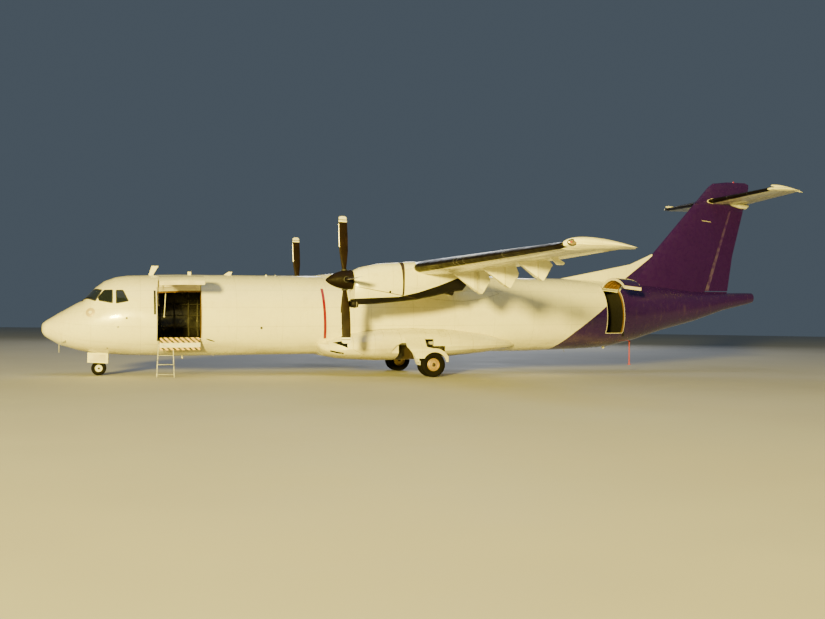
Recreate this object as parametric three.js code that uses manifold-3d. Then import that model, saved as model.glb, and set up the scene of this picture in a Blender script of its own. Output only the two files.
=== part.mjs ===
// Twin turboprop airliner with a high wing and a T-tail, parked on its wheels with two doors raised.
// Millimetres. +X runs aft, +Z up, and port is -Y. The group's origin is on the ground under the
// middle of the length. The hull's own axes start at the nose: x aft, y across, z above the hull axis.
import * as THREE from 'three';
import { mergeVertices } from 'three/addons/utils/BufferGeometryUtils.js';
import Module from 'manifold-3d';

const wasm = await Module();
wasm.setup();

// Parking attitude: the hull stands a little nose down on its gear.
const NOSE_DOWN = 0.0157;
const AXIS_HEIGHT = 1870.4;
const HALF_LENGTH = 13583;

// Driving sizes of the airframe.
const WALL = 100;
const NOSE_WALL = 60;
const SEAT = 0.3;
const AROUND = 32;
const NACELLE_Y = 4050;
const TRACK_HALF = 2050;

const airliner = new THREE.Group();
airliner.name = 'turboprop_airliner';
const airframe = new THREE.Group();
airframe.position.set(-HALF_LENGTH, 0, AXIS_HEIGHT);
airframe.rotation.y = -NOSE_DOWN;
airliner.add(airframe);
const ground = new THREE.Group();
ground.position.set(-HALF_LENGTH, 0, 0);
airliner.add(ground);

// Finishes: colour, roughness, metalness.
const finishes = {
  white: [0xe9e6da, 0.35, 0.1],
  purple: [0x2f1748, 0.35, 0.1],
  black: [0x17171a, 0.6, 0.1],
  interior: [0xb9b8a8, 0.7, 0.0],
  seat: [0x2a2d33, 0.9, 0.0],
  glass: [0x1d2830, 0.08, 0.0],
  blade: [0x1c1513, 0.45, 0.1],
  metal: [0x9c9a92, 0.4, 0.8],
  steel: [0xc9c6ba, 0.35, 0.6],
  rim: [0xd0b25a, 0.45, 0.5],
  tyre: [0x141414, 0.9, 0.0],
  hazard: [0xe0b020, 0.5, 0.1],
  red: [0xb8262a, 0.5, 0.1],
};

function place(parent, name, shape, finish) {
  const [color, roughness, metalness] = finishes[finish];
  const geometry = shape.isBufferGeometry ? shape : toGeometry(shape);
  const material = new THREE.MeshStandardMaterial({ color, roughness, metalness });
  const mesh = new THREE.Mesh(geometry, material);
  mesh.name = name;
  parent.add(mesh);
  return mesh;
}

// Solids
function toSolid(geometry) {
  const bare = geometry.clone();
  bare.deleteAttribute('normal');
  bare.deleteAttribute('uv');
  const merged = mergeVertices(bare, 1e-3);
  const vertProperties = new Float32Array(merged.attributes.position.array);
  const triVerts = new Uint32Array(merged.index.array);
  return new wasm.Manifold(new wasm.Mesh({ numProp: 3, vertProperties, triVerts }));
}

function toGeometry(solid) {
  const mesh = solid.getMesh();
  const geometry = new THREE.BufferGeometry();
  geometry.setAttribute('position', new THREE.BufferAttribute(new Float32Array(mesh.vertProperties), 3));
  geometry.setIndex(new THREE.BufferAttribute(new Uint32Array(mesh.triVerts), 1));
  return geometry;
}

const join = (first, ...rest) => rest.reduce((sum, next) => sum.add(next), first);
const cut = (first, ...rest) => rest.reduce((sum, next) => sum.subtract(next), first);

// A closed skin over a row of rings, each an array of [x, y, z]; a ring of one point is a tip.
function loft(rings) {
  const points = [];
  const faces = [];
  const starts = rings.map((ring) => {
    const start = points.length;
    points.push(...ring);
    return start;
  });
  for (let r = 0; r + 1 < rings.length; r += 1) {
    const [a, b] = [rings[r].length, rings[r + 1].length];
    const count = Math.max(a, b);
    for (let k = 0; k < count; k += 1) {
      const next = (k + 1) % count;
      const near = [starts[r] + (a > 1 ? k : 0), starts[r] + (a > 1 ? next : 0)];
      const far = [starts[r + 1] + (b > 1 ? k : 0), starts[r + 1] + (b > 1 ? next : 0)];
      if (a > 1) faces.push(near[0], near[1], far[0]);
      if (b > 1) faces.push(near[1], far[1], far[0]);
    }
  }
  cap(rings[0], starts[0], true, points, faces);
  cap(rings[rings.length - 1], starts[rings.length - 1], false, points, faces);
  return toSolid(outward(points, faces));
}

function cap(ring, start, first, points, faces) {
  if (ring.length === 1) return;
  const middle = points.length;
  points.push([0, 1, 2].map((axis) => ring.reduce((sum, p) => sum + p[axis], 0) / ring.length));
  for (let k = 0; k < ring.length; k += 1) {
    const next = (k + 1) % ring.length;
    if (first) faces.push(middle, start + next, start + k);
    else faces.push(middle, start + k, start + next);
  }
}

function outward(points, faces) {
  let volume = 0;
  const [a, b, c] = [new THREE.Vector3(), new THREE.Vector3(), new THREE.Vector3()];
  for (let f = 0; f < faces.length; f += 3) {
    a.fromArray(points[faces[f]]);
    b.fromArray(points[faces[f + 1]]);
    c.fromArray(points[faces[f + 2]]);
    volume += a.dot(b.cross(c));
  }
  if (volume < 0) faces.reverse();
  const geometry = new THREE.BufferGeometry();
  geometry.setAttribute('position', new THREE.Float32BufferAttribute(points.flat(), 3));
  geometry.setIndex(faces);
  return geometry;
}

// A box between two corners.
function block(low, high) {
  const size = high.map((value, axis) => value - low[axis]);
  const box = new THREE.BoxGeometry(...size);
  box.translate(...high.map((value, axis) => (value + low[axis]) / 2));
  return toSolid(box);
}

// A flat outline [x, z] carried across from y0 to y1.
function slab(outline, y0, y1) {
  return loft([outline.map(([x, z]) => [x, y0, z]), outline.map(([x, z]) => [x, y1, z])]);
}

// An outline that is not convex, cut into triangles by the shape tools.
function plate(outline, y0, y1) {
  const shape = new THREE.Shape(outline.map(([x, z]) => new THREE.Vector2(x, z)));
  const body = new THREE.ExtrudeGeometry(shape, { depth: y1 - y0, bevelEnabled: false });
  body.rotateX(Math.PI / 2);
  body.translate(0, y1, 0);
  return toSolid(body);
}

// A round bar between two points.
function bar(from, to, radius, radiusEnd = radius, sides = 16) {
  const [a, b] = [new THREE.Vector3(...from), new THREE.Vector3(...to)];
  const along = b.clone().sub(a);
  const body = new THREE.CylinderGeometry(radiusEnd, radius, along.length(), sides);
  body.applyQuaternion(new THREE.Quaternion().setFromUnitVectors(
    new THREE.Vector3(0, 1, 0), along.clone().normalize()));
  body.translate(...a.add(b).multiplyScalar(0.5).toArray());
  return toSolid(body);
}

// A body of revolution about the Y axis through (x, z), with a flat underneath; profile rows are [radius, y].
function wheelBody(profile, x, z, sides) {
  const points = profile.map(([radius, y]) => new THREE.Vector2(radius / Math.cos(Math.PI / sides), y));
  const body = new THREE.LatheGeometry(points, sides);
  body.rotateY(Math.PI / sides);
  body.translate(x, 0, z);
  return toSolid(body);
}

// Reads a table by linear steps: rows [x, a, b, ...].
function read(table, x) {
  const last = table.length - 1;
  if (x <= table[0][0]) return table[0].slice(1);
  if (x >= table[last][0]) return table[last].slice(1);
  const k = table.findIndex((row) => row[0] > x);
  const [low, high] = [table[k - 1], table[k]];
  const t = (x - low[0]) / (high[0] - low[0]);
  return low.slice(1).map((value, c) => value + t * (high[c + 1] - value));
}

// Hull sections: x, top, bottom, half width, height of the widest point.
const hullTable = [
  [8, -230, -470, 125, -350],
  [48, -163, -545, 205, -350],
  [190, -66, -668, 400, -345],
  [530, 150, -878, 680, -310],
  [1050, 455, -1050, 950, -250],
  [1265, 562, -1103, 1030, -212],
  [1440, 752, -1140, 1090, -180],
  [1655, 985, -1165, 1150, -150],
  [1920, 1190, -1195, 1215, -120],
  [2270, 1324, -1222, 1285, -80],
  [2620, 1379, -1243, 1335, -50],
  [3250, 1405, -1262, 1400, -20],
  [4200, 1432.5, -1300, 1432.5, 0],
  [17000, 1432.5, -1300, 1432.5, 0],
  [18500, 1425, -1262, 1425, 5],
  [19400, 1385, -1235, 1395, 20],
  [20300, 1330, -1180, 1340, 50],
  [21400, 1235, -946, 1205, 110],
  [22600, 1150, -598, 990, 230],
  [24150, 975, -239, 700, 350],
  [25600, 910, 200, 420, 560],
  [26700, 915, 430, 240, 680],
  [27060, 905, 520, 180, 715],
  [27120, 850, 590, 110, 725],
];
const BELLY_SQUARE = 2.3;
const NOSE_TIP = { x: -5, z: -350 };

function hullRing(x, inset = 0, count = AROUND) {
  const [top, bottom, half, middle] = read(hullTable, x);
  const ring = [];
  for (let k = 0; k < count; k += 1) {
    const turn = (2 * Math.PI * (k + 0.5)) / count;
    const [s, c] = [Math.sin(turn), Math.cos(turn)];
    const power = c < 0 ? 2 / BELLY_SQUARE : 1;
    const rise = (c < 0 ? middle - bottom : top - middle) - inset;
    const y = (half - inset) * Math.sign(s) * Math.abs(s) ** power;
    ring.push([x, y, middle + rise * Math.sign(c) * Math.abs(c) ** power]);
  }
  return ring;
}

function hullSolid(from, to, inset = 0) {
  const stations = [from, ...hullTable.map((row) => row[0]).filter((x) => x > from + 1 && x < to - 1), to];
  return loft(stations.map((x) => hullRing(x, inset)));
}

function hullShell(from, to, wall) {
  return cut(hullSolid(from, to), hullSolid(from - 1, to + 1, wall));
}

// Half width of the hull at a height.
function hullSide(x, z, inset = 0) {
  const [top, bottom, half, middle] = read(hullTable, x);
  const power = z < middle ? BELLY_SQUARE : 2;
  const rise = (z < middle ? middle - bottom : top - middle) - inset;
  return (half - inset) * (1 - Math.min(1, Math.abs(z - middle) / rise) ** power) ** (1 / power);
}

// Cockpit panes, port side: [x, z] corners on the hull's side. The front pane starts with its two inner
// corners, [x, y] beside the middle post.
const PANE_POST = 55;
const sidePanes = [
  [[1740, 640], [1924, 880], [2184, 890], [2187, 455], [1775, 535]],
  [[2294, 874], [2504, 880], [2678, 518], [2297, 444]],
];
const frontPane = [[1285, PANE_POST], [1560, PANE_POST], [1854, 871], [1660, 535]];

function paneCut(corners, side) {
  const reach = 170;
  const ring = (depth) => corners.map(([x, y, z]) => [x, side * (y + depth), z]);
  return loft([ring(-reach), ring(reach)]);
}

function frontPaneCut(side) {
  const [a, b, c, d] = frontPane;
  const top = (x) => read(hullTable, x)[0];
  const corners = [[a[0], a[1], top(a[0]) - 2], [b[0], b[1], top(b[0]) - 2],
    [c[0], hullSide(c[0], c[1]), c[1]], [d[0], hullSide(d[0], d[1]), d[1]]];
  const out = [-0.66, 0.42, 0.62];
  const ring = (reach) => corners.map((p) => {
    const q = p.map((value, axis) => value + out[axis] * reach);
    return [q[0], side * q[1], q[2]];
  });
  return loft([ring(-150), ring(120)]);
}

function paneCuts() {
  return [-1, 1].flatMap((side) => [frontPaneCut(side), ...sidePanes.map((pane) => (
    paneCut(pane.map(([x, z]) => [x, hullSide(x, z), z]), side)))]);
}

// Splits along the hull, each pair with a hair gap.
const SPLIT = { nose: 3500, forward: 8400, centre: 15500, aft: 20950 };
const BAY = { from: 1395, to: 2110, half: 320 };

function noseHollow(inset) {
  const inside = [150, ...hullTable.map((row) => row[0]).filter((x) => x > 500 && x < SPLIT.nose),
    SPLIT.nose + 5];
  const rings = inside.map((x) => hullRing(x, inset + (x < 3200 ? NOSE_WALL : WALL)));
  return loft([[[110, 0, -330]], ...rings]);
}

function noseShell() {
  const stations = hullTable.map((row) => row[0]).filter((x) => x < SPLIT.nose - 1);
  const tip = loft([[[NOSE_TIP.x, 0, NOSE_TIP.z]], ...[...stations, SPLIT.nose - SEAT / 2]
    .map((x) => hullRing(x))]);
  const hollow = noseHollow(0);
  const bay = block([BAY.from, -BAY.half, -1500], [BAY.to, BAY.half, -900]);
  const blade = slab([[3320, 1380], [3455, 1380], [3490, 1450], [3646, 1716], [3424, 1716]], -14, 14);
  return join(cut(tip, hollow, bay, ...paneCuts()), blade);
}

function cockpitGlazing() {
  const band = block([1235, -1400, 400], [2790, 1400, 930]);
  return biggest(cut(noseHollow(SEAT), noseHollow(18)).intersect(band));
}

const COCKPIT_FLOOR = -600;
const FLOOR_THICK = 60;

function pilotSeats() {
  const inside = hullSolid(1500, 3440, NOSE_WALL + 60);
  let all = block([1650, -1300, COCKPIT_FLOOR - FLOOR_THICK], [3400 - SEAT, 1300, COCKPIT_FLOOR])
    .intersect(inside);
  for (const y of [-480, 480]) {
    all = join(all,
      block([2420, y - 150, COCKPIT_FLOOR - 5], [2720, y + 150, -230]),
      block([2330, y - 250, -240], [2830, y + 250, -110]),
      slab([[2740, -120], [2850, -120], [2990, 560], [2890, 560]], y - 240, y + 240),
      slab([[2860, 555], [2980, 555], [3000, 740], [2910, 740]], y - 120, y + 120));
  }
  return all;
}

function instrumentPanel() {
  const inside = hullSolid(1200, 3000, NOSE_WALL + 40);
  const shape = plate([[1480, 400], [1560, 440], [1990, 400], [1990, 340], [1900, 310], [1920, -150],
    [1990, COCKPIT_FLOOR + SEAT], [1700, COCKPIT_FLOOR + SEAT], [1600, 0]], -900, 900);
  return shape.intersect(inside);
}

function cockpitBulkhead() {
  const inside = hullSolid(3380, 3490, WALL + SEAT)
    .intersect(block([3400, -1500, -1500], [3450, 1500, 1500]));
  return cut(inside, block([3350, -290, COCKPIT_FLOOR - 160], [3490, 290, 1050]));
}

// Doorways in the port side: x from, x to, z of the sill, z of the head.
const cargoWay = { from: 3555, to: 4950, sill: -766, head: 960 };
const rearWay = { from: 19750, to: 20470, sill: -636, head: 1095 };
const HOLD_FLOOR = -780;

function doorway({ from, to, sill, head }) {
  return block([from, -1700, sill], [to, -600, head]);
}

// Hinge line of a raised door, a little outside the head of its doorway.
const KNUCKLE = 20;
const HINGE_DROP = 34;
function hingeOf(way) {
  const x = (way.from + way.to) / 2;
  const z = way.head - HINGE_DROP;
  return { x, y: -hullSide(x, z) + 6, z };
}

function knuckles(way, onDoor) {
  const { y, z } = hingeOf(way);
  const pitch = (way.to - way.from) / 4;
  const half = 60;
  return [1, 2, 3].map((k) => {
    const middle = way.from + pitch * k;
    const [x0, x1] = onDoor ? [middle + SEAT / 2, middle + half] : [middle - half, middle - SEAT / 2];
    const web = onDoor ? block([x0, y - 8, z - 50], [x1, y + 14, z])
      : block([x0, y - 2, z], [x1, y + 95, z + 70]);
    return join(bar([x0, y, z], [x1, y, z], KNUCKLE, KNUCKLE, 12), web);
  });
}

function doorPanel(way, wall) {
  const frameGap = 12;
  const strip = hullShell(way.from + frameGap, way.to - frameGap, wall);
  const reach = block([way.from, -1700, way.sill + frameGap], [way.to, -600, way.head - HINGE_DROP - 26]);
  return join(strip.intersect(reach), ...knuckles(way, true));
}

function fuselageForward() {
  const shell = hullShell(SPLIT.nose + SEAT / 2, SPLIT.forward - SEAT / 2, WALL);
  const box = block([4595, -60, 1420], [4705, 60, 1530]);
  const fin = slab([[5780, 1420], [6030, 1420], [6090, 1545], [5960, 1545]], -10, 10);
  const ring = hullSolid(SPLIT.nose - 5, SPLIT.forward + 5, WALL + 1);
  return join(cut(shell, doorway(cargoWay)), ...knuckles(cargoWay, false), cut(join(box, fin), ring));
}

function fuselageAft() {
  const shell = hullShell(SPLIT.centre + SEAT / 2, SPLIT.aft - SEAT / 2, WALL);
  return join(cut(shell, doorway(rearWay)), ...knuckles(rearWay, false));
}

function holdFloor() {
  const inside = hullSolid(3495, SPLIT.aft - 50, WALL + SEAT);
  const deck = block([3500, -1500, HOLD_FLOOR - FLOOR_THICK], [20600, 1500, HOLD_FLOOR]);
  const wall = block([20540, -1500, -1400], [20600, 1500, 1500]);
  return join(deck, wall).intersect(inside);
}

const TAIL_WALL = 32;
function tailCone() {
  const outer = loft([SPLIT.aft + SEAT / 2, 21400, 22600, 24150, 25600, 26700, 27060, 27120]
    .map((x) => hullRing(x)));
  const inner = loft([SPLIT.aft - 1, 21400, 22600, 24150, 25300].map((x) => hullRing(x, TAIL_WALL)));
  return cut(outer, inner);
}

// Lifting surfaces. Each is a table of stations: span, leading edge x, height, chord, thickness over chord.
const wingTable = [
  [0, 11180, 1520, 2570, 0.18],
  [4650, 11180, 1520, 2570, 0.18],
  [13252, 11862.8, 1579.8, 1618.1, 0.1304],
  [13290, 11885, 1596, 1960, 0.105],
  [13450, 12010, 1612, 1765, 0.09],
  [13525, 12290, 1622, 1250, 0.05],
];
const tailplaneTable = [
  [0, 24930, 4590, 1960, 0.12],
  [3480, 25230, 4660, 1370, 0.11],
  [3610, 25330, 4665, 1190, 0.09],
  [3655, 25560, 4670, 800, 0.05],
];
// The fin's stations go up: height, leading edge x, 0, chord, thickness over chord.
const finTable = [
  [900, 21045, 0, 4865, 0.095],
  [2400, 22450, 0, 3720, 0.1],
  [4440, 24365, 0, 2390, 0.11],
  [5180, 25060, 0, 1910, 0.1],
  [5330, 25280, 0, 1690, 0.08],
  [5400, 25900, 0, 900, 0.05],
];
const INCIDENCE = 0.03;
const FRACTIONS = [0, 0.012, 0.05, 0.12, 0.22, 0.35, 0.5, 0.66, 0.82, 1];

function halfThickness(f, t) {
  const shape = 0.2969 * Math.sqrt(f) - 0.126 * f - 0.3516 * f ** 2 + 0.2843 * f ** 3 - 0.1036 * f ** 4;
  return 5 * t * shape + 0.0015;
}

const wingLike = (side) => ({
  camber: 0.02,
  at: (span, f, rise, [x, z, chord]) => [x + f * chord, side * span, z + (rise - f * INCIDENCE) * chord],
});
const finLike = { camber: 0, at: (span, f, rise, [x, , chord]) => [x + f * chord, rise * chord, span] };

// A ring around the section. From a fraction behind the nose it starts as a wedge that turns
// without touching.
function foilRing(table, kind, span, from = 0, wedge = 0) {
  const row = read(table, span);
  const t = row[3];
  const camber = (f) => kind.camber * 4 * f * (1 - f);
  const list = from === 0 ? FRACTIONS.slice(1)
    : [0, 0.3, 0.65, 1].map((t) => from + wedge + t * (1 - from - wedge));
  const skin = (f, sign) => kind.at(span, f, camber(f) + sign * halfThickness(f, t), row);
  const around = [...list.map((f) => skin(f, 1)), ...list.map((f) => skin(f, -1)).reverse()];
  return from > 0 && wedge === 0 ? around : [kind.at(span, from, camber(from), row), ...around];
}

const foilLoft = (table, kind, spans, from, wedge) => loft(
  spans.map((span, k) => foilRing(table, kind, span, Array.isArray(from) ? from[k] : from, wedge)));

const stationsBetween = (table, from, to) => [from, ...table.map((row) => row[0])
  .filter((span) => span > from + 1 && span < to - 1), to];

const chordX = (table, span, f) => {
  const [x, , chord] = read(table, span);
  return x + f * chord;
};

// The space behind a hinge line, seen from above, for a moving surface.
function hingeSpace(table, side, from, to, f, z0, z1, gap = HINGE_GAP) {
  const plan = [[chordX(table, from, f) - gap, from - gap], [chordX(table, to, f) - gap, to + gap],
    [chordX(table, to, 1) + 300, to + gap], [chordX(table, from, 1) + 300, from - gap]];
  return loft([z0, z1].map((z) => plan.map(([x, y]) => [x, side * y, z])));
}

const HINGE_GAP = 12;
const FLAP_FRACTION = 0.7;
const AILERON_FRACTION = 0.72;
const ELEVATOR_FRACTION = 0.66;
const outerFlap = { from: 4760, to: 9840 };
const innerFlap = { from: 1580, to: 3400 };
const FLAP_END_GAP = 36;
const aileron = { from: 10010, to: 13240 };
const elevator = { from: 340, to: 3380 };

// Hinge fairings under the flaps: distance out, x and height of the front, height of the low point.
const outerFairings = [
  [5300, 12220, 1250, 684],
  [7500, 12330, 1290, 808],
  [9720, 12420, 1360, 932],
];
const innerFairings = [[2450, 12220, 1250, 684]];
const FAIRING_LOW_X = 13112;
const FAIRING_HALF = 105;
const FLAP_SPLIT = 8;
const PIN = { rise: 15, radius: 12, boss: 26, half: 34, reach: 60, room: 8, play: 0.8 };

// Where a fairing parts between wing and flap, and the pin that joins the two halves there.
function fairingSplit([y, xFront, zFront, zLow]) {
  const x = chordX(wingTable, y, FLAP_FRACTION) - 6;
  const z = zFront + ((x - xFront) / (FAIRING_LOW_X - xFront)) * (zLow - zFront);
  return { x, y, z };
}

// A round piece on the flap's hinge line, which runs through the first and the last fairing.
function flapPin(rows, row, side, radius, half) {
  const [a, b] = [fairingSplit(rows[0]), fairingSplit(rows[rows.length - 1])];
  const run = Math.max(1, b.y - a.y);
  const at = (y) => {
    const t = (y - a.y) / run;
    return [a.x + t * (b.x - a.x), side * y, a.z + PIN.rise + t * (b.z - a.z)];
  };
  return bar(at(row[0] - half), at(row[0] + half), radius, radius, 12);
}

// The pin sits in the wing's half; the flap's half has the boss that turns on it.
function fairingWithPin(rows, row, side, part) {
  const body = fairing(row, side, part);
  const round = (radius, half) => flapPin(rows, row, side, radius, half);
  if (part === 'front') {
    return join(cut(body, round(PIN.boss + PIN.room, PIN.half + 6)), round(PIN.radius, PIN.reach));
  }
  const clear = cut(body, round(PIN.radius + PIN.room, FAIRING_HALF + 40));
  return cut(join(clear, round(PIN.boss, PIN.half)), round(PIN.radius + PIN.play, PIN.half + 20));
}

function fairing(row, side, part) {
  const [y, xFront, zFront, zLow] = row;
  const { x: split, z: zSplit } = fairingSplit(row);
  const top = read(wingTable, y)[1] - 60;
  const outline = part === 'front'
    ? [[xFront, zFront + 60], [split - FLAP_SPLIT, zSplit], [split - FLAP_SPLIT, top], [xFront + 260, top]]
    : [[split + FLAP_SPLIT, zSplit], [FAIRING_LOW_X, zLow], [FAIRING_LOW_X + 45, zLow + 12],
      [FAIRING_LOW_X + 330, zLow + 420], [FAIRING_LOW_X + 240, top - 45], [split + FLAP_SPLIT, top]];
  const narrow = part === 'front' ? (x) => (x < split - FLAP_SPLIT - 1 ? 0.35 : 1)
    : (x) => (x > FAIRING_LOW_X + 60 ? 0.3 : 1);
  const ring = (out) => outline.map(([x, z]) => [x, side * (y + out * FAIRING_HALF * narrow(x)), z]);
  return loft([ring(-1), ring(1)]);
}

function outerWing(side) {
  const kind = wingLike(side);
  const whole = foilLoft(wingTable, kind, stationsBetween(wingTable, 4650 + SEAT, 13525), 0);
  const spaces = [[outerFlap, FLAP_FRACTION, FLAP_END_GAP], [aileron, AILERON_FRACTION, HINGE_GAP]]
    .map(([run, f, gap]) => hingeSpace(wingTable, side, run.from, run.to, f, 0, 3000, gap));
  const fronts = outerFairings.map((row) => fairingWithPin(outerFairings, row, side, 'front'));
  return join(cut(whole, ...spaces), ...fronts, ...endPins(wingTable, side, aileron, AILERON_FRACTION));
}

function centreWing() {
  const whole = loft([-4650, 4650].map((span) => foilRing(
    wingTable, { ...wingLike(Math.sign(span)) }, Math.abs(span), 0)));
  const spaces = [-1, 1].map((side) => hingeSpace(
    wingTable, side, innerFlap.from, innerFlap.to, FLAP_FRACTION, 0, 3000, FLAP_END_GAP));
  const fronts = [-1, 1].flatMap((side) => innerFairings.map((row) => (
    fairingWithPin(innerFairings, row, side, 'front'))));
  return join(cut(whole, hullSolid(10500, 14500, -SEAT), ...spaces), ...fronts);
}

function flap(side, run, fairings) {
  const body = foilLoft(wingTable, wingLike(side), [run.from, run.to], FLAP_FRACTION, 0);
  const clear = cut(body, ...fairings.map((row) => (
    flapPin(fairings, row, side, PIN.radius + PIN.room, FAIRING_HALF + 40))));
  return join(clear, ...fairings.map((row) => fairingWithPin(fairings, row, side, 'rear')));
}

// Round pins on a hinge line that reach from the fixed part to the two ends of a moving surface.
const END_PIN = 12;
function endPins(table, side, run, f) {
  const nose = (span) => {
    const row = read(table, span);
    return wingLike(side).at(span, f, wingLike(side).camber * 4 * f * (1 - f), row);
  };
  return [[run.from, -60, -SEAT], [run.to, SEAT, 60]].map(([span, a, b]) => {
    const [x, y, z] = nose(span);
    return bar([x, y + side * a, z], [x, y + side * b, z], END_PIN, END_PIN, 10);
  });
}

const aileronBody = (side) => foilLoft(
  wingTable, wingLike(side), [aileron.from, aileron.to], AILERON_FRACTION, 0.045);
const elevatorBody = (side) => foilLoft(
  tailplaneTable, wingLike(side), [elevator.from, elevator.to], ELEVATOR_FRACTION, 0.04);

// Rudder: its ends, and its hinge line from a point up.
const rudder = { from: 985, to: 4250, x0: 24825, z0: 1040, lean: 0.3655 };
const rudderHingeX = (z) => rudder.x0 + (z - rudder.z0) * rudder.lean;

function finBody() {
  const whole = foilLoft(finTable, finLike, stationsBetween(finTable, 900, 4440 - SEAT), 0);
  const gap = HINGE_GAP;
  const head = rudder.to + 42;
  const space = slab([[rudderHingeX(700) - gap, 700], [28000, 700], [28000, head],
    [rudderHingeX(head) - gap, head]], -600, 600);
  const pinFoot = rudder.to + 3;
  const pin = bar([rudderHingeX(pinFoot), 0, pinFoot], [rudderHingeX(head + 40), 0, head + 40], 6, 6, 10);
  return join(cut(whole, hullSolid(20000, 27100, -SEAT), space), pin);
}

function rudderBody() {
  const spans = stationsBetween(finTable, rudder.from, rudder.to);
  const fractions = spans.map((z) => {
    const [x, , chord] = read(finTable, z);
    return (rudderHingeX(z) - x) / chord;
  });
  return foilLoft(finTable, finLike, spans, fractions, 0.035);
}

// The dorsal fin: a thin ridge rising from the hull's back to the fin's nose.
function dorsalFin() {
  const rows = [[18500, 1430, 5], [20180, 1753, 45], [21494, 2012, 85], [22480, 2440, 95]];
  const rings = rows.map(([x, top, half]) => [[x, 0, top], [x, half, top - half * 1.4], [x, half + 60, 1000],
    [x, -half - 60, 1000], [x, -half, top - half * 1.4]]);
  const fin = foilLoft(finTable, finLike, [900, 2400, 2600], 0);
  const wide = fin.translate([-SEAT, 0, 0]);
  const behind = block([22470, -700, 800], [26000, 700, 3000]);
  return cut(loft(rings), hullSolid(18000, 23500, -SEAT), wide, behind);
}

function tailplaneBody() {
  const spans = stationsBetween(tailplaneTable, 0, 3655);
  const whole = loft([...spans.slice(1).reverse().map((span) => foilRing(tailplaneTable, wingLike(-1), span)),
    ...spans.map((span) => foilRing(tailplaneTable, wingLike(1), span))]);
  const spaces = [-1, 1].map((side) => hingeSpace(
    tailplaneTable, side, elevator.from, elevator.to, ELEVATOR_FRACTION, 3800, 5400));
  const pins = [-1, 1].flatMap((side) => endPins(tailplaneTable, side, elevator, ELEVATOR_FRACTION));
  const crown = foilLoft(finTable, finLike, stationsBetween(finTable, 4440, 5400), 0);
  const nose = slab([[24420, 4500], [24700, 4440], [25300, 4440], [25300, 4760], [24700, 4700]], -110, 110);
  return join(cut(whole, ...spaces), crown, nose, ...pins);
}

// The fairing that seats the wing on the hull's back.
function wingFairing() {
  const rows = [[8900, 1440, 500], [9900, 1560, 900], [10800, 1720, 1120], [11500, 1800, 1230],
    [13000, 1800, 1260], [14000, 1640, 1180], [15300, 1500, 900], [16300, 1435, 420]];
  const rings = rows.map(([x, top, half]) => {
    const ring = [];
    for (let k = 0; k <= 12; k += 1) {
      const turn = (Math.PI * k) / 12;
      const y = half * Math.cos(turn);
      ring.push([x, y, 560 + (top - 560) * Math.sin(turn) ** 0.55]);
    }
    return ring;
  });
  const body = cut(loft(rings), hullSolid(8000, 17000, -SEAT), foilLoftWide());
  return biggest(body);
}

// The wing's own body a hair larger, for cutting what sits against it.
const wideWing = wingTable.map((row) => [row[0], row[1] - 0.5, row[2], row[3] + 1, row[4] + 0.0004]);
function foilLoftWide() {
  return loft([-4000, 4000].map((span) => foilRing(wideWing, wingLike(Math.sign(span)), Math.abs(span), 0)));
}

function biggest(solid) {
  return solid.decompose().sort((a, b) => b.volume() - a.volume())[0];
}

// Nacelle envelope: x, top, bottom, half width.
const nacelleTable = [
  [9330, 1420, 390, 350],
  [9400, 1470, 372, 385],
  [9600, 1550, 368, 435],
  [10150, 1660, 392, 485],
  [10770, 1700, 455, 500],
  [11350, 1728, 512, 500],
  [12050, 1600, 645, 460],
  [12600, 1450, 780, 360],
  [12950, 1330, 815, 240],
  [13075, 1220, 960, 150],
];
const NACELLE_SQUARE = 2.6;
const COWL = 40;

// The seam between the upper cowl and the black lower shell: x, height.
const seam = [[9200, 545], [10741, 611], [11363, 751], [12047, 971], [12680, 1201], [12947, 1250],
  [13200, 1290]];

function nacelleRing(x, inset = 0) {
  const [top, bottom, half] = read(nacelleTable, x);
  const middle = (top + bottom) / 2;
  const rise = (top - bottom) / 2 - inset;
  const power = 2 / NACELLE_SQUARE;
  const ring = [];
  for (let k = 0; k < 20; k += 1) {
    const turn = (2 * Math.PI * (k + 0.5)) / 20;
    const [s, c] = [Math.sin(turn), Math.cos(turn)];
    ring.push([x, (half - inset) * Math.sign(s) * Math.abs(s) ** power,
      middle + rise * Math.sign(c) * Math.abs(c) ** power]);
  }
  return ring;
}

function underSeam(shift) {
  const line = seam.map(([x, z]) => [x, z + shift]);
  return plate([...line, [13200, -500], [9200, -500]], -900, 900);
}

const THRUST = { x: 9079, z: 1142, tilt: 0.0267 };
const GEARBOX_RADIUS = 200;

function nacelleShell(side) {
  const outer = loft(nacelleTable.map((row) => nacelleRing(row[0])));
  const rear = nacelleTable.map((row) => row[0]).filter((x) => x > 9500 && x < 12900);
  const inner = loft([9400, ...rear, 12900].map((x) => nacelleRing(x, COWL)));
  return [outer, inner].map((solid) => solid.translate([0, side * NACELLE_Y, 0]));
}

function upperCowl(side) {
  const [outer, inner] = nacelleShell(side);
  const low = underSeam(SEAT / 2).translate([0, side * NACELLE_Y, 0]);
  const room = GEARBOX_RADIUS + SEAT;
  const mouth = powerTurned(bar([-100, 0, 0], [700, 0, 0], room, room, 24), side);
  return biggest(cut(outer, inner, low, mouth, wingSlab(side)));
}

const wingSlab = (side) => foilLoft(wideWing, wingLike(side), [3300, 4649], 0);

function lowerCowl(side) {
  const [outer, inner] = nacelleShell(side);
  const low = underSeam(-SEAT / 2).translate([0, side * NACELLE_Y, 0]);
  const duct = block([9300, side * NACELLE_Y - 210, 415], [9620, side * NACELLE_Y + 210, 520]);
  return biggest(cut(outer.intersect(low), inner, duct, wingSlab(side)));
}

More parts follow.
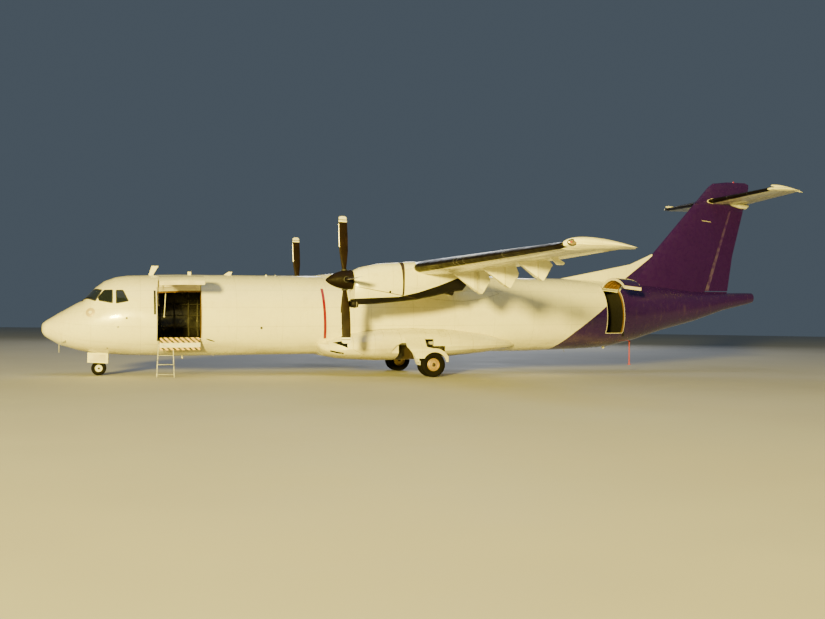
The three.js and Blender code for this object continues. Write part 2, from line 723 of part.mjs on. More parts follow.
// Turns a shape made about the thrust line (x aft from the hub) into place on one side.
function powerTurned(solid, side) {
  return solid.rotate([0, (-THRUST.tilt * 180) / Math.PI, 0])
    .translate([THRUST.x, side * NACELLE_Y, THRUST.z]);
}

const HUB_BACK = 240;

function engineBlock(side) {
  const gearbox = bar([HUB_BACK + SEAT, 0, 0], [760, 0, 0], GEARBOX_RADIUS, GEARBOX_RADIUS, 24);
  return powerTurned(join(gearbox, block([620, -290, -430], [2300, 290, 105])), side);
}

const BLADES = 4;
const BLADE_TIP = 1980;
// Blade stations: radius, chord, thickness, angle of the chord from the spin axis in degrees.
const bladeTable = [
  [60, 130, 120, 0], [330, 130, 110, 2], [520, 190, 70, 4], [900, 290, 42, 8],
  [1350, 310, 28, 12], [1750, 300, 20, 14], [1930, 270, 14, 15], [BLADE_TIP, 190, 8, 15],
];

function blade() {
  return loft(bladeTable.map(([radius, chord, thick, angle]) => {
    const turn = (angle * Math.PI) / 180;
    const ring = [];
    for (let k = 0; k < 8; k += 1) {
      const a = (2 * Math.PI * k) / 8;
      const along = (chord / 2) * Math.cos(a);
      const across = (thick / 2) * Math.sin(a) * (1 - 0.35 * Math.cos(a));
      ring.push([along * Math.cos(turn) - across * Math.sin(turn),
        along * Math.sin(turn) + across * Math.cos(turn), radius]);
    }
    return ring;
  }));
}

function propeller(side) {
  let all = bar([-200, 0, 0], [HUB_BACK, 0, 0], 150, 150, 24);
  for (let k = 0; k < BLADES; k += 1) all = join(all, blade().rotate([(360 / BLADES) * k, 0, 0]));
  return powerTurned(all, side);
}

function spinner(side) {
  const profile = [[0, -600], [80, -580], [185, -470], [265, -290], [302, -90], [310, 225],
    [294, 225], [286, -80], [248, -275], [170, -440], [0, -550]];
  const body = new THREE.LatheGeometry(profile.map(([radius, x]) => new THREE.Vector2(radius, x)), 18);
  body.rotateZ(-Math.PI / 2);
  let shell = toSolid(body);
  if (shell.volume() < 0) throw new Error('spinner is inside out');
  for (let k = 0; k < BLADES; k += 1) {
    const hole = bar([0, 0, 200], [0, 0, 400], 80, 80, 10).rotate([(360 / BLADES) * k, 0, 0]);
    shell = cut(shell, hole);
  }
  const plateBack = cut(bar([205, 0, 0], [222, 0, 0], 300, 300, 18),
    bar([190, 0, 0], [230, 0, 0], 150 + 2 * SEAT, 150 + 2 * SEAT, 24));
  return powerTurned(join(shell, plateBack), side);
}

// Main gear, on the ground's own axes.
const MAIN_AXLE = { x: 12600, z: 425 };
const TYRE = { radius: 425, width: 245, rim: 215, spacing: 380 };
const NOSE_AXLE = { x: 1775, z: 235 };
const NOSE_TYRE = { radius: 235, width: 175, rim: 112, spacing: 330 };
const TYRE_SIDES = 24;

function tyre(size, axle, y) {
  const half = size.width / 2;
  const profile = [[size.rim + SEAT, -half * 0.72], [size.radius * 0.8, -half], [size.radius, -half * 0.55],
    [size.radius, half * 0.55], [size.radius * 0.8, half], [size.rim + SEAT, half * 0.72],
    [size.rim + SEAT, -half * 0.72]];
  return wheelBody(profile.map(([r, w]) => [r, w + y]), axle.x, axle.z, TYRE_SIDES);
}

function twinRims(size, axle, y, axleRadius, hub) {
  const half = size.width / 2;
  const near = size.spacing / 2;
  const row = [
    [0, -near - half * 0.55], [hub, -near - half * 0.55], [size.rim * 0.85, -near - half * 0.3],
    [size.rim, -near - half * 0.7], [size.rim, -near + half * 0.7], [axleRadius, -near + half * 0.7],
  ];
  const mirror = [...row].reverse().map(([r, w]) => [r, -w]);
  return wheelBody([...row, ...mirror].map(([r, w]) => [r, w + y]), axle.x, axle.z, TYRE_SIDES);
}

const MAIN_AXLE_RADIUS = 42;
const NOSE_AXLE_RADIUS = 24;

// Moves a shape made on the hull's axes to the ground's axes.
const toGround = (solid) => solid.rotate([0, (-NOSE_DOWN * 180) / Math.PI, 0]).translate([0, 0, AXIS_HEIGHT]);
const WELL = { from: 11480, to: 13130, inner: 1150, outer: 1900, roof: -780, trunnionY: 1500,
  trunnionZ: -930 };
// The well's mouth in the fairing's side: x, height.
const wellMouth = [[11190, -1700], [11195, -1200], [11340, -1000], [11550, -900], [11725, -900],
  [11725, WELL.roof], [12695, WELL.roof], [12695, -1020], [WELL.to, -1020], [WELL.to, -1700]];

function axleBore(radius, y, { x, z }) {
  const room = radius + SEAT;
  return wheelBody([[0, y - 100], [room, y - 100], [room, y + 100], [0, y + 100]], x, z, TYRE_SIDES);
}

function mainLeg(side) {
  const y = side * TRACK_HALF;
  const { x, z } = MAIN_AXLE;
  const pivot = [x - 470, y, z + 60];
  const arm = slab([[x - 500, z + 130], [x - 500, z - 10], [x - 60, z - 75], [x + 70, z - 75],
    [x + 80, z + 70], [x - 60, z + 90]], y - 46, y + 46);
  const inner = side * WELL.trunnionY;
  const upper = [x - 520, inner, 1130];
  const leg = bar(upper, pivot, 95, 80, 12);
  const shockTop = [x - 340, y, 1000];
  const shock = join(bar([x - 140, y, z + 75], shockTop, 36, 36, 12),
    bar([x - 215, y, 690], shockTop, 50, 50, 12), bar(shockTop, [x - 340, inner, 1130], 60, 60, 12));
  const trunnion = toGround(bar([WELL.from + SEAT, inner, WELL.trunnionZ],
    [WELL.to - SEAT, inner, WELL.trunnionZ], 62, 62, 12));
  const doorLink = block([x - 560, Math.min(side * 1850, side * 2399.7), 680],
    [x - 490, Math.max(side * 1850, side * 2399.7), 730]);
  return cut(join(arm, leg, shock, trunnion, doorLink), axleBore(MAIN_AXLE_RADIUS, y, MAIN_AXLE));
}

// The fairing on the belly that takes the main gear: x, top, bottom, half width.
const fairingTable = [
  [8800, -900, -1010, 1180],
  [8900, -850, -1200, 1400],
  [9060, -800, -1343, 1560],
  [9530, -640, -1440, 1790],
  [9810, -515, -1470, 1880],
  [10920, -362, -1541, 2010],
  [12400, -340, -1530, 2040],
  [13600, -400, -1440, 1960],
  [14830, -560, -1330, 1700],
  [15780, -800, -1200, 1350],
  [16050, -950, -1120, 1080],
];

function bellyFairing() {
  const rings = fairingTable.map(([x, top, bottom, half]) => {
    const middle = (top + bottom) / 2;
    const ring = [];
    for (let k = 0; k < 24; k += 1) {
      const turn = (2 * Math.PI * (k + 0.5)) / 24;
      const [s, c] = [Math.sin(turn), Math.cos(turn)];
      ring.push([x, half * Math.sign(s) * Math.abs(s) ** 0.62,
        middle + ((top - bottom) / 2) * Math.sign(c) * Math.abs(c) ** 0.75]);
    }
    return ring;
  });
  let body = cut(loft(rings), hullSolid(8000, 17000, -SEAT));
  for (const side of [-1, 1]) {
    const across = (a, b) => [Math.min(side * a, side * b), Math.max(side * a, side * b)];
    const [low, high] = across(WELL.inner, WELL.outer);
    const well = block([WELL.from, low, -1700], [WELL.to, high, WELL.roof]);
    body = cut(body, well, plate(wellMouth, ...across(WELL.outer - 1, 2300)));
  }
  return biggest(body);
}

function gearDoor(side) {
  const bend = [[2010, 1360], [2400, 960], [2400, 520]];
  const skin = loft([11500, 13100].map((x) => [...bend.map(([y, z]) => [x, side * y, z]),
    ...[...bend].reverse().map(([y, z]) => [x, side * (y + 22), z + 6])]));
  const { x, z } = MAIN_AXLE;
  const arc = (radius, from, to, steps) => Array.from({ length: steps + 1 }, (_, k) => {
    const a = ((from + ((to - from) * k) / steps) * Math.PI) / 180;
    return [x + 15 + radius * Math.cos(a), z + radius * Math.sin(a)];
  });
  const outline = [[11650, 1030], [11650, 1355], [12350, 1355], [12350, 1030], ...arc(560, 96, 10, 8),
    ...arc(430, 8, 150, 12), [11960, 640], [11800, 850]];
  return skin.intersect(plate(outline, -2600, 2600));
}

function noseLeg() {
  const { x } = NOSE_AXLE;
  const strut = bar([x, 0, 1215], [x, 0, 600], 58, 58, 16);
  const bay = 777;
  const across = bar([x, -BAY.half + SEAT, bay], [x, BAY.half - SEAT, bay], 24, 24, 12);
  const brace = bar([x + 20, 0, 700], [x + 290, 0, 1130], 26, 26, 10);
  return join(strut, across, brace);
}

function noseFork() {
  const { x, z } = NOSE_AXLE;
  const piston = bar([x, 0, 600 - SEAT], [x, 0, z], 44, 44, 16);
  const hub = block([x - 50, -46, z - 50], [x + 50, 46, z + 70]);
  const links = plate([[x + 30, 590], [x + 150, 470], [x + 30, 330], [x + 30, 370], [x + 112, 470],
    [x + 30, 550]], -20, 20);
  return cut(join(piston, hub, links), axleBore(NOSE_AXLE_RADIUS, 0, NOSE_AXLE));
}

function noseDoor(side) {
  const outline = [[1425, 748], [1425, 432], [2060, 398], [2060, 744]];
  const middle = side * (BAY.half - SEAT - 9);
  return slab(outline, middle - 9, middle + 9);
}

// Ground gear by the doors.
function sillGuard() {
  const { from, to, sill } = cargoWay;
  const thick = 6;
  const leaf = block([from + 70, -1375, sill + SEAT], [to - 45, -1000, sill + thick]);
  const apron = block([from + 70, -1375, sill - 300], [to - 45, -1361, sill + thick]);
  const kerb = block([from + 70, -1014, sill + thick - 1], [to - 45, -1000, sill + 100]);
  return join(leaf, apron, kerb);
}

// Height above the ground of the sill plate's underside.
function underLeaf(x) {
  const z = cargoWay.sill + SEAT;
  const along = (x + z * Math.sin(NOSE_DOWN)) / Math.cos(NOSE_DOWN);
  return AXIS_HEIGHT + along * Math.sin(NOSE_DOWN) + z * Math.cos(NOSE_DOWN);
}

function ladder() {
  const foot = { y: -1500, half: 270 };
  const head = { y: -1255, half: 225 };
  const middle = 3830;
  let all = null;
  const at = (t, side) => [middle + side * (foot.half + (head.half - foot.half) * t),
    foot.y + (head.y - foot.y) * t, (underLeaf(middle + side * head.half) - 0.5) * t];
  for (const side of [-1, 1]) {
    const [a, b] = [at(0, side), at(1, side)];
    const rail = loft([a, b].map(([x, y, z]) => [[x - 14, y - 24, z], [x + 14, y - 24, z],
      [x + 14, y + 24, z], [x - 14, y + 24, z]]));
    all = all ? join(all, rail) : rail;
  }
  for (const t of [0.08, 0.35, 0.6, 0.85]) all = join(all, bar(at(t, -1), at(t, 1), 15, 15, 6));
  return all;
}

function tailPole() {
  const x = 21450;
  return join(bar([x, 0, 1269.4], [x, 0, 330], 22, 22, 10), bar([x, 0, 330], [x, 0, 300], 60, 60, 10),
    bar([x, 0, 1245], [x, 0, 1200], 48, 48, 10));
}

// Assembly
place(airframe, 'nose_shell', noseShell(), 'white');
place(airframe, 'cockpit_glazing', cockpitGlazing(), 'glass');
place(airframe, 'pilot_seats_and_floor', pilotSeats(), 'seat');
place(airframe, 'instrument_panel', instrumentPanel(), 'seat');
place(airframe, 'cockpit_bulkhead', cockpitBulkhead(), 'interior');
place(airframe, 'fuselage_forward', fuselageForward(), 'white');
place(airframe, 'fuselage_centre', hullShell(SPLIT.forward + SEAT / 2, SPLIT.centre - SEAT / 2, WALL),
  'white');
place(airframe, 'fuselage_aft', fuselageAft(), 'white');
place(airframe, 'hold_floor', holdFloor(), 'interior');
place(airframe, 'tail_cone', tailCone(), 'purple');
place(airframe, 'belly_fairing', bellyFairing(), 'white');
place(airframe, 'wing_fairing', wingFairing(), 'white');
place(airframe, 'wing_centre', centreWing(), 'white');
place(airframe, 'dorsal_fin', dorsalFin(), 'white');
place(airframe, 'fin', finBody(), 'purple');
place(airframe, 'rudder', rudderBody(), 'purple');
place(airframe, 'tailplane', tailplaneBody(), 'white');

for (const [label, side] of [['left', -1], ['right', 1]]) {
  place(airframe, `wing_${label}`, outerWing(side), 'white');
  place(airframe, `aileron_${label}`, aileronBody(side), 'white');
  place(airframe, `outer_flap_${label}`, flap(side, outerFlap, outerFairings), 'white');
  place(airframe, `inner_flap_${label}`, flap(side, innerFlap, innerFairings), 'white');
  place(airframe, `elevator_${label}`, elevatorBody(side), 'white');
  place(airframe, `upper_cowl_${label}`, upperCowl(side), 'white');
  place(airframe, `lower_cowl_${label}`, lowerCowl(side), 'black');
  place(airframe, `engine_${label}`, engineBlock(side), 'metal');
  place(airframe, `propeller_${label}`, propeller(side), 'blade');
  place(airframe, `spinner_${label}`, spinner(side), 'blade');
  place(ground, `main_leg_${label}`, mainLeg(side), 'steel');
  place(ground, `gear_door_${label}`, gearDoor(side), 'white');
  const y = side * TRACK_HALF;
  place(ground, `main_wheels_${label}`, twinRims(TYRE, MAIN_AXLE, y, MAIN_AXLE_RADIUS, 80), 'rim');
  place(ground, `outer_tyre_${label}`, tyre(TYRE, MAIN_AXLE, y + (side * TYRE.spacing) / 2), 'tyre');
  place(ground, `inner_tyre_${label}`, tyre(TYRE, MAIN_AXLE, y - (side * TYRE.spacing) / 2), 'tyre');
  place(ground, `nose_tyre_${label}`, tyre(NOSE_TYRE, NOSE_AXLE, (side * NOSE_TYRE.spacing) / 2), 'tyre');
  place(ground, `nose_door_${label}`, noseDoor(side), 'white');
}
place(ground, 'nose_leg', noseLeg(), 'steel');
place(ground, 'nose_fork', noseFork(), 'steel');
place(ground, 'nose_wheels', twinRims(NOSE_TYRE, NOSE_AXLE, 0, NOSE_AXLE_RADIUS, 45), 'rim');

// The two doors are made shut and turned up about their hinges.
const CARGO_RAISED = 92;
const REAR_RAISED = 78;
for (const [name, way, raised, finish] of [['cargo_door', cargoWay, CARGO_RAISED, 'white'],
  ['rear_door', rearWay, REAR_RAISED, 'white']]) {
  const { x, y, z } = hingeOf(way);
  const door = doorPanel(way, WALL).translate([-x, -y, -z]).rotate([-raised, 0, 0]).translate([x, y, z]);
  place(airframe, name, door, finish);
}
place(airframe, 'sill_guard', sillGuard(), 'hazard');
place(ground, 'ladder', ladder(), 'metal');
place(ground, 'tail_pole', tailPole(), 'red');

export default airliner;
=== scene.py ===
# %% [markdown]
# A twin turboprop freighter stands on a pale floor with its cargo door and its rear door raised. The
# solid parts arrive as a fixed frame in metres: +X runs from the nose to the tail, +Z is up and the
# port side is -Y. This lesson dresses that frame with paint, glass, rubber and small fittings.

# %% Load the frame
import math

import bmesh
import bpy
from mathutils import Matrix, Vector


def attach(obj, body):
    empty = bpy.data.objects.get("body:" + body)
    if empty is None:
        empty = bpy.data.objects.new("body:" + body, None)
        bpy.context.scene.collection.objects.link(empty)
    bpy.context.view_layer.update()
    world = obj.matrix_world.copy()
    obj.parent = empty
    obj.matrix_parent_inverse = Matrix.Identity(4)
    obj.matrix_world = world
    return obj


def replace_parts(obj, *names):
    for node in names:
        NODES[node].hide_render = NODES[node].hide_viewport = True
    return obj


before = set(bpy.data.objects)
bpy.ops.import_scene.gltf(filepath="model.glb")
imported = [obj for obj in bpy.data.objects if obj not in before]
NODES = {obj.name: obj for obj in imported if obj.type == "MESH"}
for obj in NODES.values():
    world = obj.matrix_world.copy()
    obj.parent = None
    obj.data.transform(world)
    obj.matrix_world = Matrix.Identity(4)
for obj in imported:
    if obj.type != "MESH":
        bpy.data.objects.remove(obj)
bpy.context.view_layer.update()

# %% [markdown]
# The hull stands a little nose down, so most sizes are easier to say along the hull: how far aft of
# the nose, how far out, and how far above the hull's own axis. One small function turns such a point
# into the frame's own place, and every later piece uses it.

# %% The hull's own axes
NOSE_DOWN = 0.0157
AXIS_HEIGHT = 1.8704
HALF_LENGTH = 13.583


def hull_point(x, y, z):
    c, s = math.cos(NOSE_DOWN), math.sin(NOSE_DOWN)
    return Vector((x * c - z * s - HALF_LENGTH, y, x * s + z * c + AXIS_HEIGHT))


LOWER_POWER = 2.3  # below its widest line the hull's section is a little fuller than an ellipse
HULL_RADIUS = 1.4325
NOSE_TIP_HEIGHT = -0.35
SIDES = (("left", -1), ("right", 1))
HULL = [  # aft of the nose, top, bottom, half width, height of the widest point
    (0.008, -0.230, -0.470, 0.125, -0.350), (0.048, -0.163, -0.545, 0.205, -0.350),
    (0.19, -0.066, -0.668, 0.400, -0.345), (0.53, 0.150, -0.878, 0.680, -0.310),
    (1.05, 0.455, -1.050, 0.950, -0.250), (1.265, 0.562, -1.103, 1.030, -0.212),
    (1.44, 0.752, -1.140, 1.090, -0.180), (1.655, 0.985, -1.165, 1.150, -0.150),
    (1.92, 1.190, -1.195, 1.215, -0.120), (2.27, 1.324, -1.222, 1.285, -0.080),
    (2.62, 1.379, -1.243, 1.335, -0.050), (3.25, 1.405, -1.262, 1.400, -0.020),
    (4.2, 1.4325, -1.300, 1.4325, 0), (17.0, 1.4325, -1.300, 1.4325, 0),
    (18.5, 1.425, -1.262, 1.425, 0.005), (19.4, 1.385, -1.235, 1.395, 0.020),
    (20.3, 1.330, -1.180, 1.340, 0.050), (21.4, 1.235, -0.946, 1.205, 0.110),
    (22.6, 1.150, -0.598, 0.990, 0.230), (24.15, 0.975, -0.239, 0.700, 0.350),
    (25.6, 0.910, 0.200, 0.420, 0.560), (26.7, 0.915, 0.430, 0.240, 0.680),
    (27.06, 0.905, 0.520, 0.180, 0.715), (27.12, 0.850, 0.590, 0.110, 0.725)]


def read(table, x):
    """Reads a table by linear steps; its first column is the place."""
    if x <= table[0][0]:
        return table[0][1:]
    for low, high in zip(table, table[1:]):
        if x <= high[0]:
            t = (x - low[0]) / (high[0] - low[0])
            return tuple(a + t * (b - a) for a, b in zip(low[1:], high[1:]))
    return table[-1][1:]


def bent(value, power):
    """A share raised to a power, with its sign kept."""
    return math.copysign(abs(value) ** power, value)


def turns(count):
    """Equal steps once round a circle, in radians."""
    return [2 * math.pi * k / count for k in range(count)]


def section_point(x, sizes, turn, proud):
    """A point on the hull: turn 0 is the back, a quarter turn the starboard side; proud lifts it."""
    top, bottom, half, middle = sizes
    s, c = math.sin(turn), math.cos(turn)
    power = 1.0 if c >= 0 else 2 / LOWER_POWER
    rise = (top - middle if c >= 0 else middle - bottom) + proud
    return hull_point(x, (half + proud) * bent(s, power), middle + rise * bent(c, power))


def hull_side(x, z, proud=0.0):
    """Half width of the hull at a height above its axis."""
    top, bottom, half, middle = read(HULL, x)
    power = LOWER_POWER if z < middle else 2.0
    rise = (middle - bottom if z < middle else top - middle) + proud
    share = min(1.0, abs(z - middle) / rise)
    return (half + proud) * (1 - share ** power) ** (1 / power)


print("nose tip:", tuple(round(v, 3) for v in hull_point(-0.005, 0, NOSE_TIP_HEIGHT)))

# %% [markdown]
# Small pieces start from lists of points and faces. One function turns them into an object, smooths
# what bends gently, and hands it to the body it moves with. The object's own place stays at zero, so
# that patterns and the exported meshes line up with the solid parts.

# %% From points to a piece
made = {}
WELD = 1e-5


def soften(mesh, smooth, weld=0.0):
    """Turns all faces outwards and smooths the edges that bend by less than so many degrees."""
    bm = bmesh.new()
    bm.from_mesh(mesh)
    if weld:
        bmesh.ops.remove_doubles(bm, verts=bm.verts, dist=weld)
    bmesh.ops.recalc_face_normals(bm, faces=bm.faces)
    for edge in bm.edges:
        edge.smooth = len(edge.link_faces) == 2 and edge.calc_face_angle(0) < math.radians(smooth)
    for face in bm.faces:
        face.smooth = True
    bm.to_mesh(mesh)
    bm.free()


def piece(name, points, faces, finish, body="airframe", smooth=35):
    mesh = bpy.data.meshes.new(name)
    mesh.from_pydata([tuple(p) for p in points], [], faces)
    soften(mesh, smooth, WELD)
    mesh.materials.append(finish)
    thing = bpy.data.objects.new(name, mesh)
    bpy.context.scene.collection.objects.link(thing)
    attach(thing, body)
    made[name] = len(mesh.polygons)
    return thing


def loft(rings, caps=True):
    """Points and faces of a skin over a row of rings with equal numbers of points."""
    points = [p for ring in rings for p in ring]
    n = len(rings[0])
    faces = []
    for r in range(len(rings) - 1):
        for k in range(n):
            a, b = r * n + k, r * n + (k + 1) % n
            faces.append((a, b, b + n, a + n))
    if caps:
        faces.append(tuple(range(n - 1, -1, -1)))
        faces.append(tuple(range((len(rings) - 1) * n, len(rings) * n)))
    return points, faces


def merge(*shapes):
    """Several shapes of points and faces as one."""
    points, faces = [], []
    for some, more in shapes:
        start = len(points)
        points += some
        faces += [tuple(start + i for i in face) for face in more]
    return points, faces


def tube(path, radius, sides):
    """A round bar along a path of points; radius may be one number or one for each point."""
    path = [Vector(p) for p in path]
    radii = radius if isinstance(radius, (list, tuple)) else [radius] * len(path)
    rings, across = [], None
    for k, p in enumerate(path):
        along = (path[min(k + 1, len(path) - 1)] - path[max(k - 1, 0)]).normalized()
        if across is None:
            across = along.orthogonal().normalized()
        across = (across - along * across.dot(along)).normalized()
        other = along.cross(across)
        rings.append([p + (across * math.cos(a) + other * math.sin(a)) * radii[k] for a in turns(sides)])
    return loft(rings)


def box(low, high, bevel):
    """A block between two corners with its twelve edges cut by a bevel."""
    bm = bmesh.new()
    bmesh.ops.create_cube(bm, size=1)
    for v in bm.verts:
        v.co = Vector([low[i] if v.co[i] < 0 else high[i] for i in range(3)])
    if bevel:
        bmesh.ops.bevel(bm, geom=list(bm.edges), offset=bevel, segments=2, profile=0.7, affect="EDGES")
    bm.verts.index_update()
    shape = [v.co.copy() for v in bm.verts], [tuple(v.index for v in f.verts) for f in bm.faces]
    bm.free()
    return shape


def spun(profile, centre, axis, sides, across=None):
    """A body of revolution: profile rows are (radius, along), about an axis through a centre."""
    along = Vector(axis).normalized()
    first = Vector(across).normalized() if across else along.orthogonal().normalized()
    second = along.cross(first)
    rings = []
    for a in turns(sides):
        out = first * math.cos(a) + second * math.sin(a)
        rings.append([Vector(centre) + out * max(r, 1e-5) + along * w for r, w in profile])
    points = [p for ring in rings for p in ring]
    n = len(profile)
    faces = []
    for k in range(sides):
        for i in range(n - 1):
            a, b = k * n + i, ((k + 1) % sides) * n + i
            faces.append((a, b, b + 1, a + 1))
    return points, faces


print("piece makers ready")

# %% [markdown]
# The solid parts are made of flat triangles, so a bright light would show every facet. A small tree
# of Geometry Nodes joins the loose corners, smooths the gentle bends and keeps the sharp edges. It
# is a modifier, so the solid itself stays as it was.

# %% Smooth the solid parts
def smoothing_tree():
    tree = bpy.data.node_groups.new("smooth_gentle_bends", "GeometryNodeTree")
    face = tree.interface
    face.new_socket("Geometry", in_out="INPUT", socket_type="NodeSocketGeometry")
    limit = face.new_socket("Sharp from", in_out="INPUT", socket_type="NodeSocketFloat")
    limit.default_value = math.radians(28)
    face.new_socket("Geometry", in_out="OUTPUT", socket_type="NodeSocketGeometry")
    start, end = tree.nodes.new("NodeGroupInput"), tree.nodes.new("NodeGroupOutput")
    bare = tree.nodes.new("GeometryNodeRemoveAttribute")
    bare.inputs["Name"].default_value = "custom_normal"
    weld = tree.nodes.new("GeometryNodeMergeByDistance")
    weld.inputs["Distance"].default_value = 0.0001
    soft = tree.nodes.new("GeometryNodeSetShadeSmooth")
    angle = tree.nodes.new("GeometryNodeInputMeshEdgeAngle")
    over = tree.nodes.new("FunctionNodeCompare")
    over.operation = "GREATER_THAN"
    sharp = tree.nodes.new("GeometryNodeSetShadeSmooth")
    sharp.domain = "EDGE"
    sharp.inputs["Shade Smooth"].default_value = False
    link = tree.links.new
    link(start.outputs["Geometry"], bare.inputs["Geometry"])
    link(bare.outputs["Geometry"], weld.inputs["Geometry"])
    link(weld.outputs["Geometry"], soft.inputs["Geometry"])
    link(angle.outputs["Unsigned Angle"], over.inputs["A"])
    link(start.outputs["Sharp from"], over.inputs["B"])
    link(soft.outputs["Geometry"], sharp.inputs["Geometry"])
    link(over.outputs["Result"], sharp.inputs["Selection"])
    link(sharp.outputs["Geometry"], end.inputs["Geometry"])
    return tree


SMOOTH = smoothing_tree()
for node in NODES.values():
    node.modifiers.new("smooth", "NODES").node_group = SMOOTH
print("smoothed", len(NODES), "solid parts")

# %% [markdown]
# Paint is never one flat colour. Each finish below starts from a base colour and adds cloudy
# variation, fine grain and grime that gathers and runs downwards, with the same noise in the
# roughness and a little in the bump. A helper wires the nodes and leaves the constant values on the
# shader's own sockets.

# %% A helper for finishes
class Finish:
    """A material with one Principled shader and the nodes that feed it."""

    def __init__(self, name, colour, rough=0.5, metal=0.0, coat=0.0, coat_rough=0.1):
        self.material = bpy.data.materials.new(name)
        self.material.use_nodes = True
        self.tree = self.material.node_tree
        self.shader = self.tree.nodes["Principled BSDF"]
        self.shader.inputs["Base Color"].default_value = (*colour, 1)
        self.shader.inputs["Roughness"].default_value = rough
        self.shader.inputs["Metallic"].default_value = metal
        self.shader.inputs["Coat Weight"].default_value = coat
        self.shader.inputs["Coat Roughness"].default_value = coat_rough
        source = self.add("ShaderNodeTexCoord")
        self.place, self.facing = source.outputs["Object"], source.outputs["Normal"]
        self.colour = self.rgb(colour)
        self.rough = rough
        self.height = None

    def add(self, kind, **settings):
        node = self.tree.nodes.new(kind)
        for key, value in settings.items():
            setattr(node, key, value)
        return node

    def feed(self, socket, value):
        if isinstance(value, bpy.types.NodeSocket):
            self.tree.links.new(value, socket)
        elif isinstance(value, tuple) and socket.type == "RGBA" and len(value) == 3:
            socket.default_value = (*value, 1)
        else:
            socket.default_value = value

    def rgb(self, colour):
        node = self.add("ShaderNodeRGB")
        node.outputs[0].default_value = (*colour, 1)
        return node.outputs[0]

    def sum(self, operation, a, b=0.0, c=0.0):
        node = self.add("ShaderNodeMath", operation=operation)
        for socket, value in zip(node.inputs, (a, b, c)):
            self.feed(socket, value)
        return node.outputs[0]

    def times(self, first, *others):
        for value in others:
            first = self.sum("MULTIPLY", first, value)
        return first

    def split(self, vector):
        node = self.add("ShaderNodeSeparateXYZ")
        self.feed(node.inputs[0], vector)
        return node.outputs

    def mix(self, share, a, b):
        node = self.add("ShaderNodeMix", data_type="RGBA")
        self.feed(node.inputs["Factor"], share)
        self.feed(node.inputs[6], a)
        self.feed(node.inputs[7], b)
        return node.outputs[2]

    def ramp(self, value, low, high, to_low=0.0, to_high=1.0):
        node = self.add("ShaderNodeMapRange", interpolation_type="SMOOTHSTEP")
        for key, v in (("Value", value), ("From Min", low), ("From Max", high), ("To Min", to_low),
                       ("To Max", to_high)):
            self.feed(node.inputs[key], v)
        return node.outputs[0]

    def within(self, value, low, high, soft):
        """One between two limits, fading to nought over a short way inside each."""
        return self.times(self.ramp(value, low, low + soft), self.ramp(value, high - soft, high, 1.0, 0.0))

    def stretched(self, scale=(1, 1, 1), turn=(0, 0, 0), move=(0, 0, 0)):
        node = self.add("ShaderNodeMapping")
        self.feed(node.inputs["Vector"], self.place)
        node.inputs["Scale"].default_value = scale
        node.inputs["Rotation"].default_value = turn
        node.inputs["Location"].default_value = move
        return node.outputs[0]

    def noise(self, scale, detail, place=None, roughness=0.55):
        node = self.add("ShaderNodeTexNoise")
        self.feed(node.inputs["Vector"], place or self.place)
        node.inputs["Scale"].default_value = scale
        node.inputs["Detail"].default_value = detail
        node.inputs["Roughness"].default_value = roughness
        return node.outputs[0]

    def tint(self, share, colour):
        self.colour = self.mix(share, self.colour, colour)

    def lift(self, height):
        self.height = height if self.height is None else self.sum("ADD", self.height, height)

    def clouds(self, scale, colour, low, high, most, stretch=(1, 1, 1)):
        """Soft patches of a second colour."""
        share = self.ramp(self.noise(scale, 4.0, self.stretched(stretch)), low, high, 0.0, most)
        self.tint(share, colour)
        return share

    def finish(self, bump=0.3, distance=0.002, rough_spread=0.12, rough_scale=6.0):
        grain = self.noise(rough_scale, 5.0)
        spread = self.ramp(grain, 0.3, 0.7, self.rough - rough_spread / 2, self.rough + rough_spread)
        self.feed(self.shader.inputs["Roughness"], spread)
        self.feed(self.shader.inputs["Base Color"], self.colour)
        if self.height is not None:
            node = self.add("ShaderNodeBump")
            node.inputs["Strength"].default_value = bump
            node.inputs["Distance"].default_value = distance
            self.feed(node.inputs["Height"], self.height)
            self.feed(self.shader.inputs["Normal"], node.outputs[0])
        return self.material


print("finish helper ready")

# %% [markdown]
# An airframe's skin is sheets riveted to frames and stringers. On a clean, painted hull that shows
# as faint seams round it and along it, with a dotted line of rivet heads beside each. The seams are
# worked out in the hull's own axes, so they stay level with the hull and not with the ground.

# %% Seams and rivets for painted skin
def hull_axes(f):
    """Object coordinates turned into the hull's own axes."""
    c, s = math.cos(NOSE_DOWN), math.sin(NOSE_DOWN)
    move = (HALF_LENGTH * c - AXIS_HEIGHT * s, 0, -HALF_LENGTH * s - AXIS_HEIGHT * c)
    return f.stretched(turn=(0, NOSE_DOWN, 0), move=move)


def near_line(f, value, pitch, half_width, soft):
    """One within half_width of each multiple of pitch, fading to nought."""
    far = f.sum("PINGPONG", value, pitch / 2)
    return f.ramp(far, half_width, half_width + soft, 1.0, 0.0)


SEAM_PITCH, SEAM_WIDTH, SEAMS_ROUND = 1.52, 0.006, 14
SEAM_COLOUR, SEAM_SHARE = (0.28, 0.26, 0.22), 0.35


